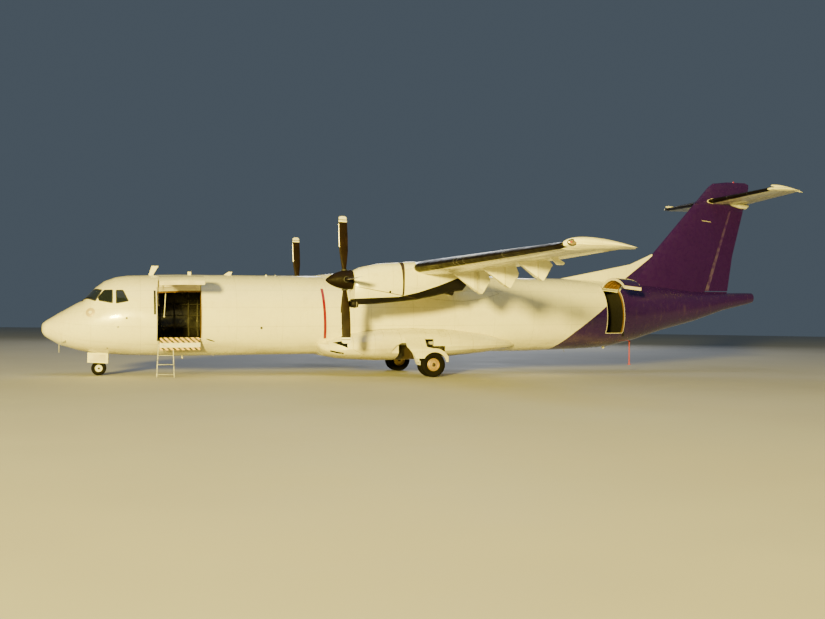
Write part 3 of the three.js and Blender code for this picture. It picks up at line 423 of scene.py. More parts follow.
def seams(f, x, y, z):
    """Seams round the hull and along it, and rivets beside them."""
    turn = f.sum("ARCTAN2", y, z)
    step = 2 * math.pi / SEAMS_ROUND
    round_line = near_line(f, x, SEAM_PITCH, SEAM_WIDTH / 2, SEAM_WIDTH)
    along_line = near_line(f, turn, step, SEAM_WIDTH / 2.6, SEAM_WIDTH / 1.3)
    line = f.sum("MAXIMUM", round_line, along_line)
    close = f.sum("MAXIMUM", near_line(f, x, SEAM_PITCH, 0.035, 0.004),
                  near_line(f, turn, step, 0.025, 0.003))
    dots = f.times(near_line(f, x, 0.05, 0.004, 0.003), near_line(f, turn, 0.036, 0.003, 0.002), close)
    f.tint(f.times(line, SEAM_SHARE), SEAM_COLOUR)
    f.tint(f.times(dots, SEAM_SHARE * 0.8), SEAM_COLOUR)
    f.lift(f.times(line, -0.6))
    f.lift(f.times(dots, -0.4))


print("seam maker ready")

# %% [markdown]
# The hull wears white paint with a yellow cast that is painted golden sunlight, kept glossy but no
# longer new: the belly is stained by spray and oil, dirt runs down from the seams, and the metal skin
# carries its rivets. Aft of a slanting edge the paint turns deep purple, so the same finish reads
# where the edge lies and mixes the two colours.

# %% Hull paint
# Painted sunlight: the yellow cast of this white stands for the low golden sun; the paint itself is plain
# white.
SUN_TINTED_PAINT = (0.84, 0.79, 0.46)
PURPLE = (0.024, 0.0055, 0.078)
GRIME = (0.20, 0.155, 0.09)
TAIL_EDGE = [(17.809, -1.153), (18.420, -0.592), (22.536, 2.423)]


def past_edge(f, x, z):
    """One aft of the slanting colour edge, nought before it."""
    (x0, z0), (x1, z1), (x2, z2) = TAIL_EDGE
    low = f.sum("MULTIPLY_ADD", z, (x1 - x0) / (z1 - z0), x0 - z0 * (x1 - x0) / (z1 - z0))
    high = f.sum("MULTIPLY_ADD", z, (x2 - x1) / (z2 - z1), x1 - z1 * (x2 - x1) / (z2 - z1))
    edge = f.sum("MAXIMUM", low, high)
    return f.ramp(f.sum("SUBTRACT", x, edge), -0.004, 0.004)


def belly_grime(f, z):
    """Stain that deepens towards the belly, broken up by noise stretched along the hull."""
    low = f.ramp(z, -1.25, -0.55, 1.0, 0.0)
    cloud = f.ramp(f.noise(1.4, 6.0, f.stretched((0.35, 1, 1.6))), 0.32, 0.68)
    f.tint(f.times(low, cloud, 0.5), GRIME)


def runs(f):
    """Thin streaks that run down the sides."""
    streak = f.ramp(f.noise(9.0, 3.0, f.stretched((1, 1, 0.12))), 0.55, 0.8, 0.0, 0.16)
    f.tint(streak, GRIME)


def hold_shade_and_jamb_sun(f, x, y, z):
    """Painted light in the hold: faces that look at the hull's axis are painted shade, near black, and the
    doorways' cut edges are amber, partly primer and partly painted sunlight on the jambs.
    """
    radius = f.sum("POWER", f.sum("ADD", f.times(y, y), f.times(z, z)), 0.5)
    way = f.split(f.facing)
    out = f.sum("ADD", f.times(way[1], y), f.times(way[2], z))
    out = f.sum("DIVIDE", out, radius)
    along = f.times(f.within(x, 3.52, 20.91, 0.01), f.within(z, -0.91, 1.21, 0.01))
    along = f.times(along, f.ramp(radius, HULL_RADIUS - 0.0015, HULL_RADIUS + 0.0005, 1.0, 0.0))
    # Painted sunlight on the cut edges of the doorways, in an amber primer tone; below it, painted shade on
    # the faces turned inwards.
    f.tint(f.times(f.ramp(out, 0.40, 0.45, 1.0, 0.0), along), (0.24, 0.13, 0.045))
    f.tint(f.times(f.ramp(out, -0.5, -0.4, 1.0, 0.0), along), (0.008, 0.007, 0.006))


def well_shade(f, x, y, z):
    """The walls and roof of the wheel wells are dark."""
    across = f.sum("ABSOLUTE", y)
    low = f.ramp(z, -0.765, -0.760, 1.0, 0.0)
    share = f.times(low, f.within(x, 11.468, 13.142, 0.002), f.within(across, 1.138, 1.907, 0.002))
    f.tint(share, (0.030, 0.022, 0.015))


def propeller_line(f, x, z):
    """A red band on the hull's sides in the plane of the propellers."""
    x = f.sum("MULTIPLY_ADD", z, 0.04, x)
    band = f.times(f.within(x, 8.970, 9.070, 0.004), f.within(z, -0.744, 0.960, 0.004))
    f.tint(band, (0.19, 0.004, 0.006))


def hull_paint(name="hull_paint", hinge=None):
    """The hull's paint; a raised door is painted by where its skin lies when it is shut."""
    f = Finish(name, SUN_TINTED_PAINT, rough=0.24, coat=0.5, coat_rough=0.08)
    # Cloudy patches of a deeper yellow: tone variation that also carries the painted warm cast.
    f.clouds(0.9, (0.74, 0.66, 0.44), 0.4, 0.75, 0.5, (0.5, 1, 1))
    x, y, z = f.split(hull_axes(f))
    seams(f, x, y, z)
    if hinge:
        y0, z0, swing = hinge
        c, s = math.cos(math.radians(swing)), math.sin(math.radians(swing))
        z = f.sum("MULTIPLY_ADD", z, c, z0 * (1 - c) - y0 * s)
        z = f.sum("ADD", z, f.times(y, s))
    f.tint(past_edge(f, x, z), PURPLE)
    belly_grime(f, z)
    runs(f)
    if not hinge:
        propeller_line(f, x, z)
        hold_shade_and_jamb_sun(f, x, y, z)
        well_shade(f, x, y, z)
    f.lift(f.times(f.noise(2.2, 4.0), 0.9))
    return f.finish(bump=0.25, distance=0.004, rough_spread=0.14, rough_scale=3.0)


def lifting_paint(name, base, seam_pitch=(0.9, 0.42), most_grime=0.22, purple_middle=False,
                  line_colour=(0.25, 0.22, 0.17)):
    """Paint for wings and tail: chordwise ribs and spanwise spars show as faint seams."""
    f = Finish(name, base, rough=0.27, coat=0.4, coat_rough=0.1)
    warm = tuple(0.86 * c for c in base)
    f.clouds(1.6, warm, 0.4, 0.75, 0.55, (1, 0.5, 1))
    x, y, _ = f.split(f.place)
    ribs, spars = seam_pitch
    line = f.sum("MAXIMUM", near_line(f, y, ribs, 0.003, 0.004), near_line(f, x, spars, 0.003, 0.004))
    near = f.sum("MAXIMUM", near_line(f, y, ribs, 0.022, 0.003), near_line(f, x, spars, 0.022, 0.003))
    dots = f.times(near_line(f, x, 0.045, 0.004, 0.003), near_line(f, y, 0.045, 0.004, 0.003), near)
    f.tint(f.times(f.sum("MAXIMUM", line, dots), 0.35), line_colour)
    streak = f.ramp(f.noise(5.0, 4.0, f.stretched((0.15, 1, 1))), 0.52, 0.8, 0.0, most_grime)
    f.tint(streak, GRIME)
    if purple_middle:
        f.tint(f.ramp(f.sum("ABSOLUTE", y), 0.135, 0.139, 1.0, 0.0), PURPLE)
    f.lift(f.times(f.sum("ADD", line, dots), -0.5))
    return f.finish(bump=0.25, distance=0.003, rough_spread=0.16)


HULL_PAINT = hull_paint()
REAR_DOOR_PAINT = hull_paint("rear_door_paint", (-0.833, 1.061, 78))
TAIL_PAINT = lifting_paint("fin_purple_paint", PURPLE, (5.0, 0.9), 0.0, line_colour=(0.02, 0.006, 0.04))
COWL_PAINT = lifting_paint("cowl_white_paint_sun_tinted", SUN_TINTED_PAINT, (2.7, 0.77))
WING_PAINT = lifting_paint("wing_white_paint_sun_tinted", SUN_TINTED_PAINT)
CROWN_PAINT = lifting_paint("tailplane_paint", SUN_TINTED_PAINT, purple_middle=True)
print("paints:", HULL_PAINT.name, TAIL_PAINT.name, WING_PAINT.name, CROWN_PAINT.name)

# %% [markdown]
# The other finishes are shorter stories: rubber, dark propeller paint, bare and painted metals,
# glass, cloth and the cream lining of the hold. Each keeps its own grain at its real size, and wear
# shows where hands, stones and brakes reach it.

# %% Rubber, metals, glass and lining
def worn(name, base, rough, metal=0.0, second=None, scale=3.0, wear=None, coat=0.0, grain=60.0,
         bump=0.25):
    """A finish with cloudy variation, a worn second colour in scratches and a fine grain."""
    f = Finish(name, base, rough=rough, metal=metal, coat=coat)
    f.clouds(scale, second or tuple(0.7 * c for c in base), 0.42, 0.7, 0.5)
    if wear:
        scratch = f.ramp(f.noise(scale * 5, 6.0, roughness=0.75), 0.62, 0.72, 0.0, 0.75)
        f.tint(scratch, wear)
        f.lift(f.times(scratch, -0.4))
    f.lift(f.noise(grain, 3.0))
    return f.finish(bump=bump, distance=0.001, rough_spread=0.18, rough_scale=scale * 2)


BOOT = worn("deicer_boot_rubber", (0.005, 0.0035, 0.003), 0.42, second=(0.012, 0.008, 0.006), scale=2.5,
            wear=(0.022, 0.016, 0.011), grain=90)
BLADE = worn("spinner_brown_black", (0.006, 0.0034, 0.0026), 0.5, second=(0.012, 0.007, 0.005), scale=4,
             grain=120)
# Real bare metal, with a warm cream colour that is a painted sunlit sheen; it serves the blades' leading
# edges and the intake ring.
METAL_EDGE_AND_SHEEN = worn("propeller_metal_edge", (0.62, 0.56, 0.44), 0.3, metal=0.85, scale=8, grain=200)
TYRE_RUBBER = worn("tyre_rubber", (0.004, 0.0034, 0.003), 0.75, second=(0.010, 0.0078, 0.006), scale=3.5,
                   wear=(0.018, 0.014, 0.010), grain=140, bump=0.5)
GASKET = worn("window_gasket_rubber", (0.02, 0.02, 0.022), 0.6, scale=8)
BLACK = worn("cowl_black_paint", (0.0065, 0.0055, 0.006), 0.5, second=(0.016, 0.013, 0.011), scale=2.2,
             wear=(0.04, 0.032, 0.024))
DARK = worn("intake_shadow_black", (0.008, 0.008, 0.009), 0.8, scale=4)
STEEL = worn("gear_white_enamel", (0.50, 0.48, 0.42), 0.38, second=(0.40, 0.37, 0.30), scale=7,
             wear=(0.22, 0.18, 0.12), coat=0.2)
CHROME = worn("piston_chrome", (0.74, 0.74, 0.75), 0.12, metal=1.0, second=(0.6, 0.6, 0.62), scale=9)
RIM = worn("wheel_gold_alloy", (0.46, 0.31, 0.10), 0.36, metal=0.5, second=(0.26, 0.17, 0.055), scale=9,
           wear=(0.16, 0.11, 0.05))
NOSE_RIM = worn("nose_wheel_white", (0.74, 0.71, 0.62), 0.38, second=(0.5, 0.46, 0.38), scale=12,
                wear=(0.25, 0.21, 0.15))
METAL = worn("bare_alloy", (0.46, 0.45, 0.43), 0.34, metal=0.85, second=(0.33, 0.32, 0.30), scale=6,
             wear=(0.62, 0.61, 0.58))
HOT = worn("heat_stained_steel", (0.30, 0.20, 0.12), 0.4, metal=0.8, second=(0.12, 0.09, 0.10), scale=6,
           wear=(0.45, 0.33, 0.2))
LINING = worn("hold_lining", (0.40, 0.36, 0.27), 0.6, second=(0.24, 0.21, 0.15), scale=1.8,
              wear=(0.13, 0.11, 0.08), grain=30)
DECK = worn("hold_deck_alloy", (0.26, 0.255, 0.24), 0.45, metal=0.6, second=(0.15, 0.145, 0.13), scale=2.4,
            wear=(0.42, 0.41, 0.38), grain=40)
SEAT = worn("cockpit_seat_cloth", (0.16, 0.13, 0.10), 0.9, second=(0.10, 0.085, 0.07), scale=14,
            grain=260, bump=0.6)
PANEL = worn("instrument_grey", (0.035, 0.037, 0.042), 0.55, scale=10, wear=(0.10, 0.10, 0.10))
ORANGE = worn("pole_orange_red", (0.42, 0.035, 0.010), 0.45, second=(0.28, 0.025, 0.010), scale=6,
              wear=(0.55, 0.38, 0.22))
CREAM = worn("door_lining_cream", (0.66, 0.60, 0.46), 0.5, second=(0.46, 0.40, 0.28), scale=2.6,
             wear=(0.28, 0.23, 0.15), grain=40)


def glass(name, base, through):
    f = Finish(name, base, rough=0.05, coat=1.0, coat_rough=0.02)
    f.shader.inputs["Transmission Weight"].default_value = through
    f.shader.inputs["IOR"].default_value = 1.45
    f.clouds(5.0, tuple(0.6 * c for c in base), 0.4, 0.75, 0.5)
    return f.finish(rough_spread=0.05)


PANE = glass("cockpit_glass", (0.012, 0.016, 0.019), 0.12)
for finish, shine in ((BOOT, 0.12), (BLADE, 0.1), (BLACK, 0.15), (TYRE_RUBBER, 0.1), (DARK, 0.05),
                      (TAIL_PAINT, 0.2), (PANE, 0.3)):
    finish.node_tree.nodes["Principled BSDF"].inputs["Specular IOR Level"].default_value = shine
for finish, coat in ((TAIL_PAINT, 0.06), (PANE, 0.25)):
    finish.node_tree.nodes["Principled BSDF"].inputs["Coat Weight"].default_value = coat
LENS = glass("clear_lamp_lens", (0.85, 0.84, 0.8), 0.85)
RED_LENS = glass("red_lamp_lens", (0.6, 0.03, 0.02), 0.4)
GREEN_LENS = glass("green_lamp_lens", (0.02, 0.42, 0.16), 0.4)
print("finishes made:", len(bpy.data.materials))

# %% [markdown]
# Hazard paint is slanting yellow and black bands. The bands come from the sum of two object axes cut
# by a wave, so they run on round the corners of the sill guard as one painted pattern would.

# %% Hazard stripes
def hazard_paint():
    f = Finish("hazard_stripe_paint", (0.78, 0.50, 0.03), rough=0.42, coat=0.15)
    x, _, z = f.split(hull_axes(f))
    band = near_line(f, f.sum("ADD", x, z), 0.17, 0.040, 0.002)
    f.tint(band, (0.012, 0.011, 0.010))
    f.tint(f.within(z, -0.985, -0.83, 0.005), (0.72, 0.69, 0.60))
    dirt = f.ramp(f.noise(7.0, 5.0), 0.45, 0.75, 0.0, 0.55)
    f.tint(dirt, (0.20, 0.17, 0.12))
    f.lift(f.noise(70, 3.0))
    return f.finish(bump=0.3, distance=0.001)


HAZARD = hazard_paint()
print("hazard stripes ready:", HAZARD.name)

# %% [markdown]
# Every solid part takes the finish that its real piece has. Left and right share one name stem, so a
# short table of stems covers all of them.

# %% Finishes for the solid parts
FINISH_OF = {
    "nose_shell": HULL_PAINT, "fuselage": HULL_PAINT, "tail_cone": HULL_PAINT, "belly_fairing": HULL_PAINT,
    "wing_fairing": HULL_PAINT, "dorsal_fin": HULL_PAINT, "fin": TAIL_PAINT, "rudder": TAIL_PAINT,
    "tailplane": CROWN_PAINT, "wing": WING_PAINT, "aileron": WING_PAINT, "outer_flap": COWL_PAINT,
    "inner_flap": COWL_PAINT, "elevator": WING_PAINT, "upper_cowl": COWL_PAINT, "lower_cowl": BLACK,
    "engine": HOT, "propeller": BLADE, "spinner": BLADE, "main_leg": STEEL, "gear_door": HULL_PAINT,
    "main_wheels": RIM, "outer_tyre": TYRE_RUBBER, "inner_tyre": TYRE_RUBBER, "nose_tyre": TYRE_RUBBER,
    "nose_door": COWL_PAINT, "nose_leg": STEEL, "nose_fork": STEEL, "nose_wheels": NOSE_RIM,
    "cargo_door": HULL_PAINT, "rear_door": REAR_DOOR_PAINT, "sill_guard": HAZARD, "ladder": METAL,
    "tail_pole": ORANGE, "cockpit_glazing": PANE, "pilot_seats": SEAT, "instrument_panel": PANEL,
    "cockpit_bulkhead": LINING, "hold_floor": DECK}


def finish_for(name):
    stems = [stem for stem in FINISH_OF if name.startswith(stem)]
    return FINISH_OF[max(stems, key=len)]


for name, node in NODES.items():
    node.data.materials.clear()
    node.data.materials.append(finish_for(name))
print("finishes given to", len(NODES), "solid parts")

# %% [markdown]
# The photograph is a long-lens side view from the port quarter, at about eye height. The studio keeps
# that view over a plain pale floor. A warm lamp low behind the camera stands for the low sun. A wide
# pale one overhead fills the shadows, and one more lights the far side.

# %% Camera, floor and studio light
EYE = (-11.211, -32.628, 1.870)
YAW, PITCH, ROLL = 17.331, 0.755, 0.668  # degrees, as the photograph's camera stood
LENS_LENGTH, SENSOR_WIDTH = 41.07, 36
FLOOR_RADIUS = 160


def studio():
    yaw, pitch, roll = (math.radians(v) for v in (YAW, PITCH, ROLL))
    ahead = Vector((math.sin(yaw) * math.cos(pitch), math.cos(yaw) * math.cos(pitch), math.sin(pitch)))
    right = Vector((math.cos(yaw), -math.sin(yaw), 0))
    up = right.cross(ahead)
    side = right * math.cos(roll) + up * math.sin(roll)
    head = up * math.cos(roll) - right * math.sin(roll)
    turn = Matrix((side, head, -ahead)).transposed().to_4x4()
    camera = bpy.data.objects.new("camera", bpy.data.cameras.new("camera"))
    camera.matrix_world = Matrix.Translation(EYE) @ turn
    camera.data.lens = LENS_LENGTH
    camera.data.sensor_width = SENSOR_WIDTH
    camera.data.clip_end = 1000
    bpy.context.scene.collection.objects.link(camera)
    bpy.context.scene.camera = camera


def lamp(name, place, aim, size, power, colour):
    data = bpy.data.lights.new(name, "AREA")
    data.shape, data.size, data.energy, data.color = "DISK", size, power, colour
    thing = bpy.data.objects.new(name, data)
    thing.location = place
    thing.rotation_mode = "QUATERNION"
    thing.rotation_quaternion = (Vector(aim) - Vector(place)).to_track_quat("-Z", "Y")
    bpy.context.scene.collection.objects.link(thing)


def pale_floor():
    f = Finish("pale_floor", (0.52, 0.50, 0.465), rough=0.75)
    f.clouds(0.12, (0.47, 0.45, 0.415), 0.35, 0.7, 0.6)
    bpy.ops.mesh.primitive_circle_add(vertices=96, radius=FLOOR_RADIUS, fill_type="NGON")
    floor = bpy.context.object
    floor.name = "studio_floor"
    floor.data.materials.append(f.finish(rough_spread=0.1, rough_scale=0.5))


studio()
pale_floor()
lamp("low_sun", (-34, -60, 10.5), (0, 0, 2.2), 6, 170000, (1.0, 0.81, 0.15))
lamp("overhead", (-6, -12, 34), (0, 0, 2), 34, 3000, (0.92, 0.95, 1.0))
lamp("far_side", (14, 46, 20), (0, 0, 2), 22, 6500, (0.9, 0.94, 1.0))
world = bpy.data.worlds.new("studio_sky")
world.use_nodes = True
sky = world.node_tree.nodes["Background"]
sky.inputs["Color"].default_value = (0.26, 0.34, 0.43, 1)
sky.inputs["Strength"].default_value = 0.27
bpy.context.scene.world = world
print("camera and lights ready")

# %% [markdown]
# Many fittings lie flush with the hull or stand a few millimetres proud of it. The next helpers push
# a point along a direction until it meets the skin, so that panes, gaskets and pads follow the curve.

# %% Laying pieces on the skin
def outside(p, proud):
    top, bottom, half, middle = read(HULL, p.x)
    power = LOWER_POWER if p.z < middle else 2.0
    rise = (middle - bottom if p.z < middle else top - middle) + proud
    return (abs(p.y) / (half + proud)) ** power + (abs(p.z - middle) / rise) ** power > 1


def onto_skin(p, way, proud):
    """The place on the hull, or a little above it, that a point of the hull's axes reaches."""
    p, way = Vector(p), Vector(way)
    low, high = -0.4, 0.5
    for _ in range(26):
        t = (low + high) / 2
        low, high = (low, t) if outside(p + way * t, proud) else (t, high)
    return hull_point(*(p + way * low))


def rounded(corners, radius, steps=4, reach=0.12):
    """A closed outline with round corners, its long edges cut into short steps."""
    corners = [Vector(c) for c in corners]
    line = []
    for k, corner in enumerate(corners):
        before, after = corners[k - 1], corners[(k + 1) % len(corners)]
        a = corner + (before - corner).normalized() * radius
        b = corner + (after - corner).normalized() * radius
        line += [a.lerp(corner, t / steps).lerp(corner.lerp(b, t / steps), t / steps)
                 for t in range(steps + 1)]
        c = after + (corner - after).normalized() * radius
        cuts = max(1, int((c - b).length / reach))
        line += [b.lerp(c, t / cuts) for t in range(1, cuts)]
    return line


def spread(line, width):
    """The outline moved outwards in its own plane."""
    middle = sum(line, Vector()) / len(line)
    normal = (line[0] - middle).cross(line[len(line) // 3] - middle).normalized()
    result = []
    for k, p in enumerate(line):
        along = (line[(k + 1) % len(line)] - line[k - 1]).normalized()
        out = along.cross(normal)
        result.append(p + (out if out.dot(p - middle) > 0 else -out) * width)
    return result


def stepped(line, cuts):
    """Places at equal steps along each leg of a line, up to its last point."""
    places = []
    for (x0, z0), (x1, z1) in zip(line, line[1:]):
        places += [(x0 + (x1 - x0) * k / cuts, z0 + (z1 - z0) * k / cuts) for k in range(cuts)]
    return places


def laid_pane(line, way, proud):
    """A curved sheet that fills an outline on the skin."""
    middle = sum(line, Vector()) / len(line)
    rings = [[onto_skin(middle.lerp(p, share), way, proud) for p in line] for share in (1, 0.7, 0.4, 0.12)]
    return loft(rings)


def laid_band(line, way, inner, outer, proud, depth=0.012):
    """A thin raised frame that runs round an outline on the skin."""
    near, far = spread(line, inner), spread(line, outer)
    rings = []
    for p, q in zip(near + near[:1], far + far[:1]):
        rings.append([onto_skin(p, way, -depth), onto_skin(p, way, proud), onto_skin(q, way, proud),
                      onto_skin(q, way, -0.002)])
    return loft(rings, caps=False)


print("skin helpers ready")

# %% [markdown]
# The flight deck has two raked windscreens and two side panes on each side. The glass lies a few
# millimetres under the skin in a black rubber gasket, and a thin bright retainer frames the
# windscreens. One wiper is parked along each lower edge.

# %% Cockpit panes, gaskets and wipers
PANES = {
    "windscreen": [(1.300, 0.075, 0.575), (1.560, 0.075, 0.875), (1.854, 0, 0.871), (1.660, 0, 0.535)],
    "side_pane": [(1.740, 0, 0.640), (1.924, 0, 0.880), (2.184, 0, 0.890), (2.187, 0, 0.455),
                  (1.775, 0, 0.535)],
    "rear_pane": [(2.294, 0, 0.874), (2.504, 0, 0.880), (2.678, 0, 0.518), (2.297, 0, 0.444)]}


def screen_way(side):
    """The way a windscreen faces."""
    return -0.66, side * 0.42, 0.62


def pane_corners(name, side):
    rows = []
    for x, y, z in PANES[name]:
        rows.append(Vector((x, side * (y or hull_side(x, z)), z)))
    return rows


for label, side in SIDES:
    for name in PANES:
        screen = name == "windscreen"
        way = screen_way(side) if screen else (0, side, 0)
        line = rounded(pane_corners(name, side), 0.035)
        piece(f"{name}_{label}", *laid_pane(spread(line, -0.004), way, -0.006), PANE, smooth=60)
        piece(f"{name}_gasket_{label}", *laid_band(line, way, -0.022, 0.010, 0.002), GASKET, smooth=50)
        if screen:
            piece(f"{name}_retainer_{label}", *laid_band(line, way, 0.010, 0.030, 0.003), METAL, smooth=50)


def wiper(side):
    def spot(x, y, z, proud):
        return onto_skin((x, side * y, z), screen_way(side), proud)
    arm = tube([spot(1.235, 0.30, 0.52, 0.012), spot(1.30, 0.33, 0.57, 0.030),
                spot(1.42, 0.50, 0.66, 0.022)], [0.013, 0.009, 0.006], 8)
    blade = tube([spot(1.325, 0.20, 0.60, 0.012), spot(1.42, 0.50, 0.66, 0.012),
                  spot(1.53, 0.72, 0.66, 0.012)], 0.007, 6)
    return merge(arm, blade)


for label, side in SIDES:
    piece(f"wiper_{label}", *wiper(side), BLACK, smooth=60)
print("panes and wipers:", sum("pane" in name or "screen" in name or "wiper" in name for name in made))

# %% [markdown]
# Bolts, rollers and frames repeat many times. Three small trees of Geometry Nodes make them: one sets
# cylinders round a circle, one sets blocks along a line and one sets arches along a line. Their inputs
# carry names, so each use only states counts and sizes. The result is kept as a plain mesh.

# %% Trees for repeated pieces
def new_tree(name, sockets):
    tree = bpy.data.node_groups.new(name, "GeometryNodeTree")
    for label, kind, value in sockets:
        socket = tree.interface.new_socket(label, in_out="INPUT", socket_type=kind)
        if value is not None:
            socket.default_value = value
    tree.interface.new_socket("Geometry", in_out="OUTPUT", socket_type="NodeSocketGeometry")
    return tree, tree.nodes.new("NodeGroupInput"), tree.nodes.new("NodeGroupOutput")


def finish_tree(tree, start, end, points, instance):
    link = tree.links.new
    put = tree.nodes.new("GeometryNodeInstanceOnPoints")
    link(points, put.inputs["Points"])
    link(instance, put.inputs["Instance"])
    real = tree.nodes.new("GeometryNodeRealizeInstances")
    paint = tree.nodes.new("GeometryNodeSetMaterial")
    link(put.outputs[0], real.inputs[0])
    link(real.outputs[0], paint.inputs["Geometry"])
    link(start.outputs["Finish"], paint.inputs["Material"])
    link(paint.outputs[0], end.inputs[0])
    return tree


def circle_tree():
    tree, start, end = new_tree("bolts_on_a_circle", [
        ("Count", "NodeSocketInt", 8), ("Circle radius", "NodeSocketFloat", 0.1),
        ("Bolt radius", "NodeSocketFloat", 0.01), ("Bolt height", "NodeSocketFloat", 0.01),
        ("Sides", "NodeSocketInt", 6), ("Finish", "NodeSocketMaterial", None)])
    ring, bolt = tree.nodes.new("GeometryNodeMeshCircle"), tree.nodes.new("GeometryNodeMeshCylinder")
    link = tree.links.new
    link(start.outputs["Count"], ring.inputs["Vertices"])
    link(start.outputs["Circle radius"], ring.inputs["Radius"])
    link(start.outputs["Sides"], bolt.inputs["Vertices"])
    link(start.outputs["Bolt radius"], bolt.inputs["Radius"])
    link(start.outputs["Bolt height"], bolt.inputs["Depth"])
    return finish_tree(tree, start, end, ring.outputs[0], bolt.outputs["Mesh"])


def line_tree():
    tree, start, end = new_tree("blocks_on_a_line", [
        ("Count", "NodeSocketInt", 8), ("Step", "NodeSocketVector", (0.1, 0, 0)),
        ("Size", "NodeSocketVector", (0.05, 0.05, 0.05)), ("Finish", "NodeSocketMaterial", None)])
    line, block = tree.nodes.new("GeometryNodeMeshLine"), tree.nodes.new("GeometryNodeMeshCube")
    link = tree.links.new
    link(start.outputs["Count"], line.inputs["Count"])
    link(start.outputs["Step"], line.inputs["Offset"])
    link(start.outputs["Size"], block.inputs["Size"])
    return finish_tree(tree, start, end, line.outputs[0], block.outputs["Mesh"])


def arch_tree():
    tree, start, end = new_tree("arches_on_a_line", [
        ("Count", "NodeSocketInt", 8), ("Step", "NodeSocketVector", (0, 0, 0.5)),
        ("Radius", "NodeSocketFloat", 1.3), ("Start angle", "NodeSocketFloat", 0.0),
        ("Sweep", "NodeSocketFloat", 3.0), ("Width", "NodeSocketFloat", 0.04),
        ("Depth", "NodeSocketFloat", 0.04), ("Finish", "NodeSocketMaterial", None)])
    line, arc = tree.nodes.new("GeometryNodeMeshLine"), tree.nodes.new("GeometryNodeCurveArc")
    section = tree.nodes.new("GeometryNodeCurvePrimitiveQuadrilateral")
    skin = tree.nodes.new("GeometryNodeCurveToMesh")
    arc.inputs["Resolution"].default_value = 36
    skin.inputs["Fill Caps"].default_value = True
    link = tree.links.new
    for name, socket in (("Radius", arc.inputs["Radius"]), ("Start angle", arc.inputs["Start Angle"]),
                         ("Sweep", arc.inputs["Sweep Angle"]), ("Width", section.inputs["Width"]),
                         ("Depth", section.inputs["Height"]), ("Count", line.inputs["Count"]),
                         ("Step", line.inputs["Offset"])):
        link(start.outputs[name], socket)
    link(arc.outputs["Curve"], skin.inputs["Curve"])
    link(section.outputs[0], skin.inputs["Profile Curve"])
    return finish_tree(tree, start, end, line.outputs[0], skin.outputs[0])


BOLTS, BLOCKS, ARCHES = circle_tree(), line_tree(), arch_tree()


def grown(name, tree, values, finish, place, body="airframe"):
    """Runs a tree with named values and keeps the result as one plain mesh."""
    thing = bpy.data.objects.new(name, bpy.data.meshes.new(name))
    bpy.context.scene.collection.objects.link(thing)
    modifier = thing.modifiers.new("grow", "NODES")
    modifier.node_group = tree
    for item in tree.interface.items_tree:
        if item.in_out == "INPUT":
            modifier[item.identifier] = finish if item.name == "Finish" else values[item.name]
    shown = thing.evaluated_get(bpy.context.evaluated_depsgraph_get())
    mesh = bpy.data.meshes.new_from_object(shown)
    thing.modifiers.remove(modifier)
    thing.data = mesh
    mesh.transform(place)
    soften(mesh, 35)
    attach(thing, body)
    made[name] = len(mesh.polygons)
    return thing


def facing(centre, axis):
    """A placing that turns a tree's own z axis to an axis and moves it to a centre."""
    return Matrix.Translation(Vector(centre)) @ Vector(axis).to_track_quat("Z", "Y").to_matrix().to_4x4()


HULL_PLACE = Matrix.Translation(hull_point(0, 0, 0)) @ Matrix.Rotation(-NOSE_DOWN, 4, "Y")
print("trees:", BOLTS.name, BLOCKS.name, ARCHES.name)

# %% [markdown]
# Behind the cargo doorway the hold runs aft as one long room. Arched frames stand on the lining at
# about half a metre, cut short beside the doorway. Roller tracks between rails lie on the deck, and
# three rails run along each wall. In the photograph the room is nearly black, with the sun on its
# rear jamb.

# %% Hold frames, rails and rollers
def arches(name, x, count, pitch, start, sweep):
    """Arches in the hull's own axes; angles in degrees from starboard, over the top, to port."""
    turn = Matrix(((0, 0, 1, 0), (1, 0, 0, 0), (0, 1, 0, 0), (0, 0, 0, 1)))
    values = {"Count": count, "Step": (0, 0, pitch), "Radius": FRAME_RADIUS, "Width": 0.05, "Depth": 0.05,
              "Start angle": math.radians(start), "Sweep": math.radians(sweep)}
    grown(name, ARCHES, values, HOLD_PAINTED_SHADE, HULL_PLACE @ Matrix.Translation((x, 0, 0)) @ turn)


FRAME_RADIUS, FRAME_PITCH, RAIL_RADIUS = 1.300, 0.508, 1.277
# Painted shade: the hold's frames and wall rails are near black for the dark room; the wear on them is real.
HOLD_PAINTED_SHADE = worn("hold_frames_painted_shade", (0.020, 0.017, 0.013), 0.65, second=(0.013, 0.011, 0.009), scale=3,
                   wear=(0.06, 0.05, 0.04), grain=50)
arches("hold_frames_forward", 3.75, 3, 0.48, -31, 162)
arches("hold_frames", 5.02, 22, FRAME_PITCH, -31, 242)
arches("hold_frames_aft", 16.35, 4, FRAME_PITCH, -29, 238)

for label, y in (("port", -0.55), ("starboard", 0.55)):
    values = {"Count": 44, "Step": (0.3, 0, 0), "Size": (0.05, 0.16, 0.03)}
    grown(f"hold_rollers_{label}", BLOCKS, values, METAL,
          HULL_PLACE @ Matrix.Translation((3.8, y, -0.762)))
    for rail, out in (("inner", -0.10), ("outer", 0.10)):
        points, faces = box((3.62, y + out - 0.012, -0.7795), (17.2, y + out + 0.012, -0.735), 0.004)
        piece(f"roller_rail_{label}_{rail}", [hull_point(*p) for p in points], faces, METAL)
for label, side in (("port", -1), ("starboard", 1)):
    for height in (-0.35, 0.05, 0.45):
        start = 5.02 if side < 0 else 3.62
        reach = side * math.sqrt(RAIL_RADIUS ** 2 - height ** 2)
        path = [hull_point(start, reach, height), hull_point(16.9, reach, height)]
        piece(f"hold_rail_{label}_{int(height * 100) + 50}", *tube(path, 0.014, 8), HOLD_PAINTED_SHADE,
              smooth=60)
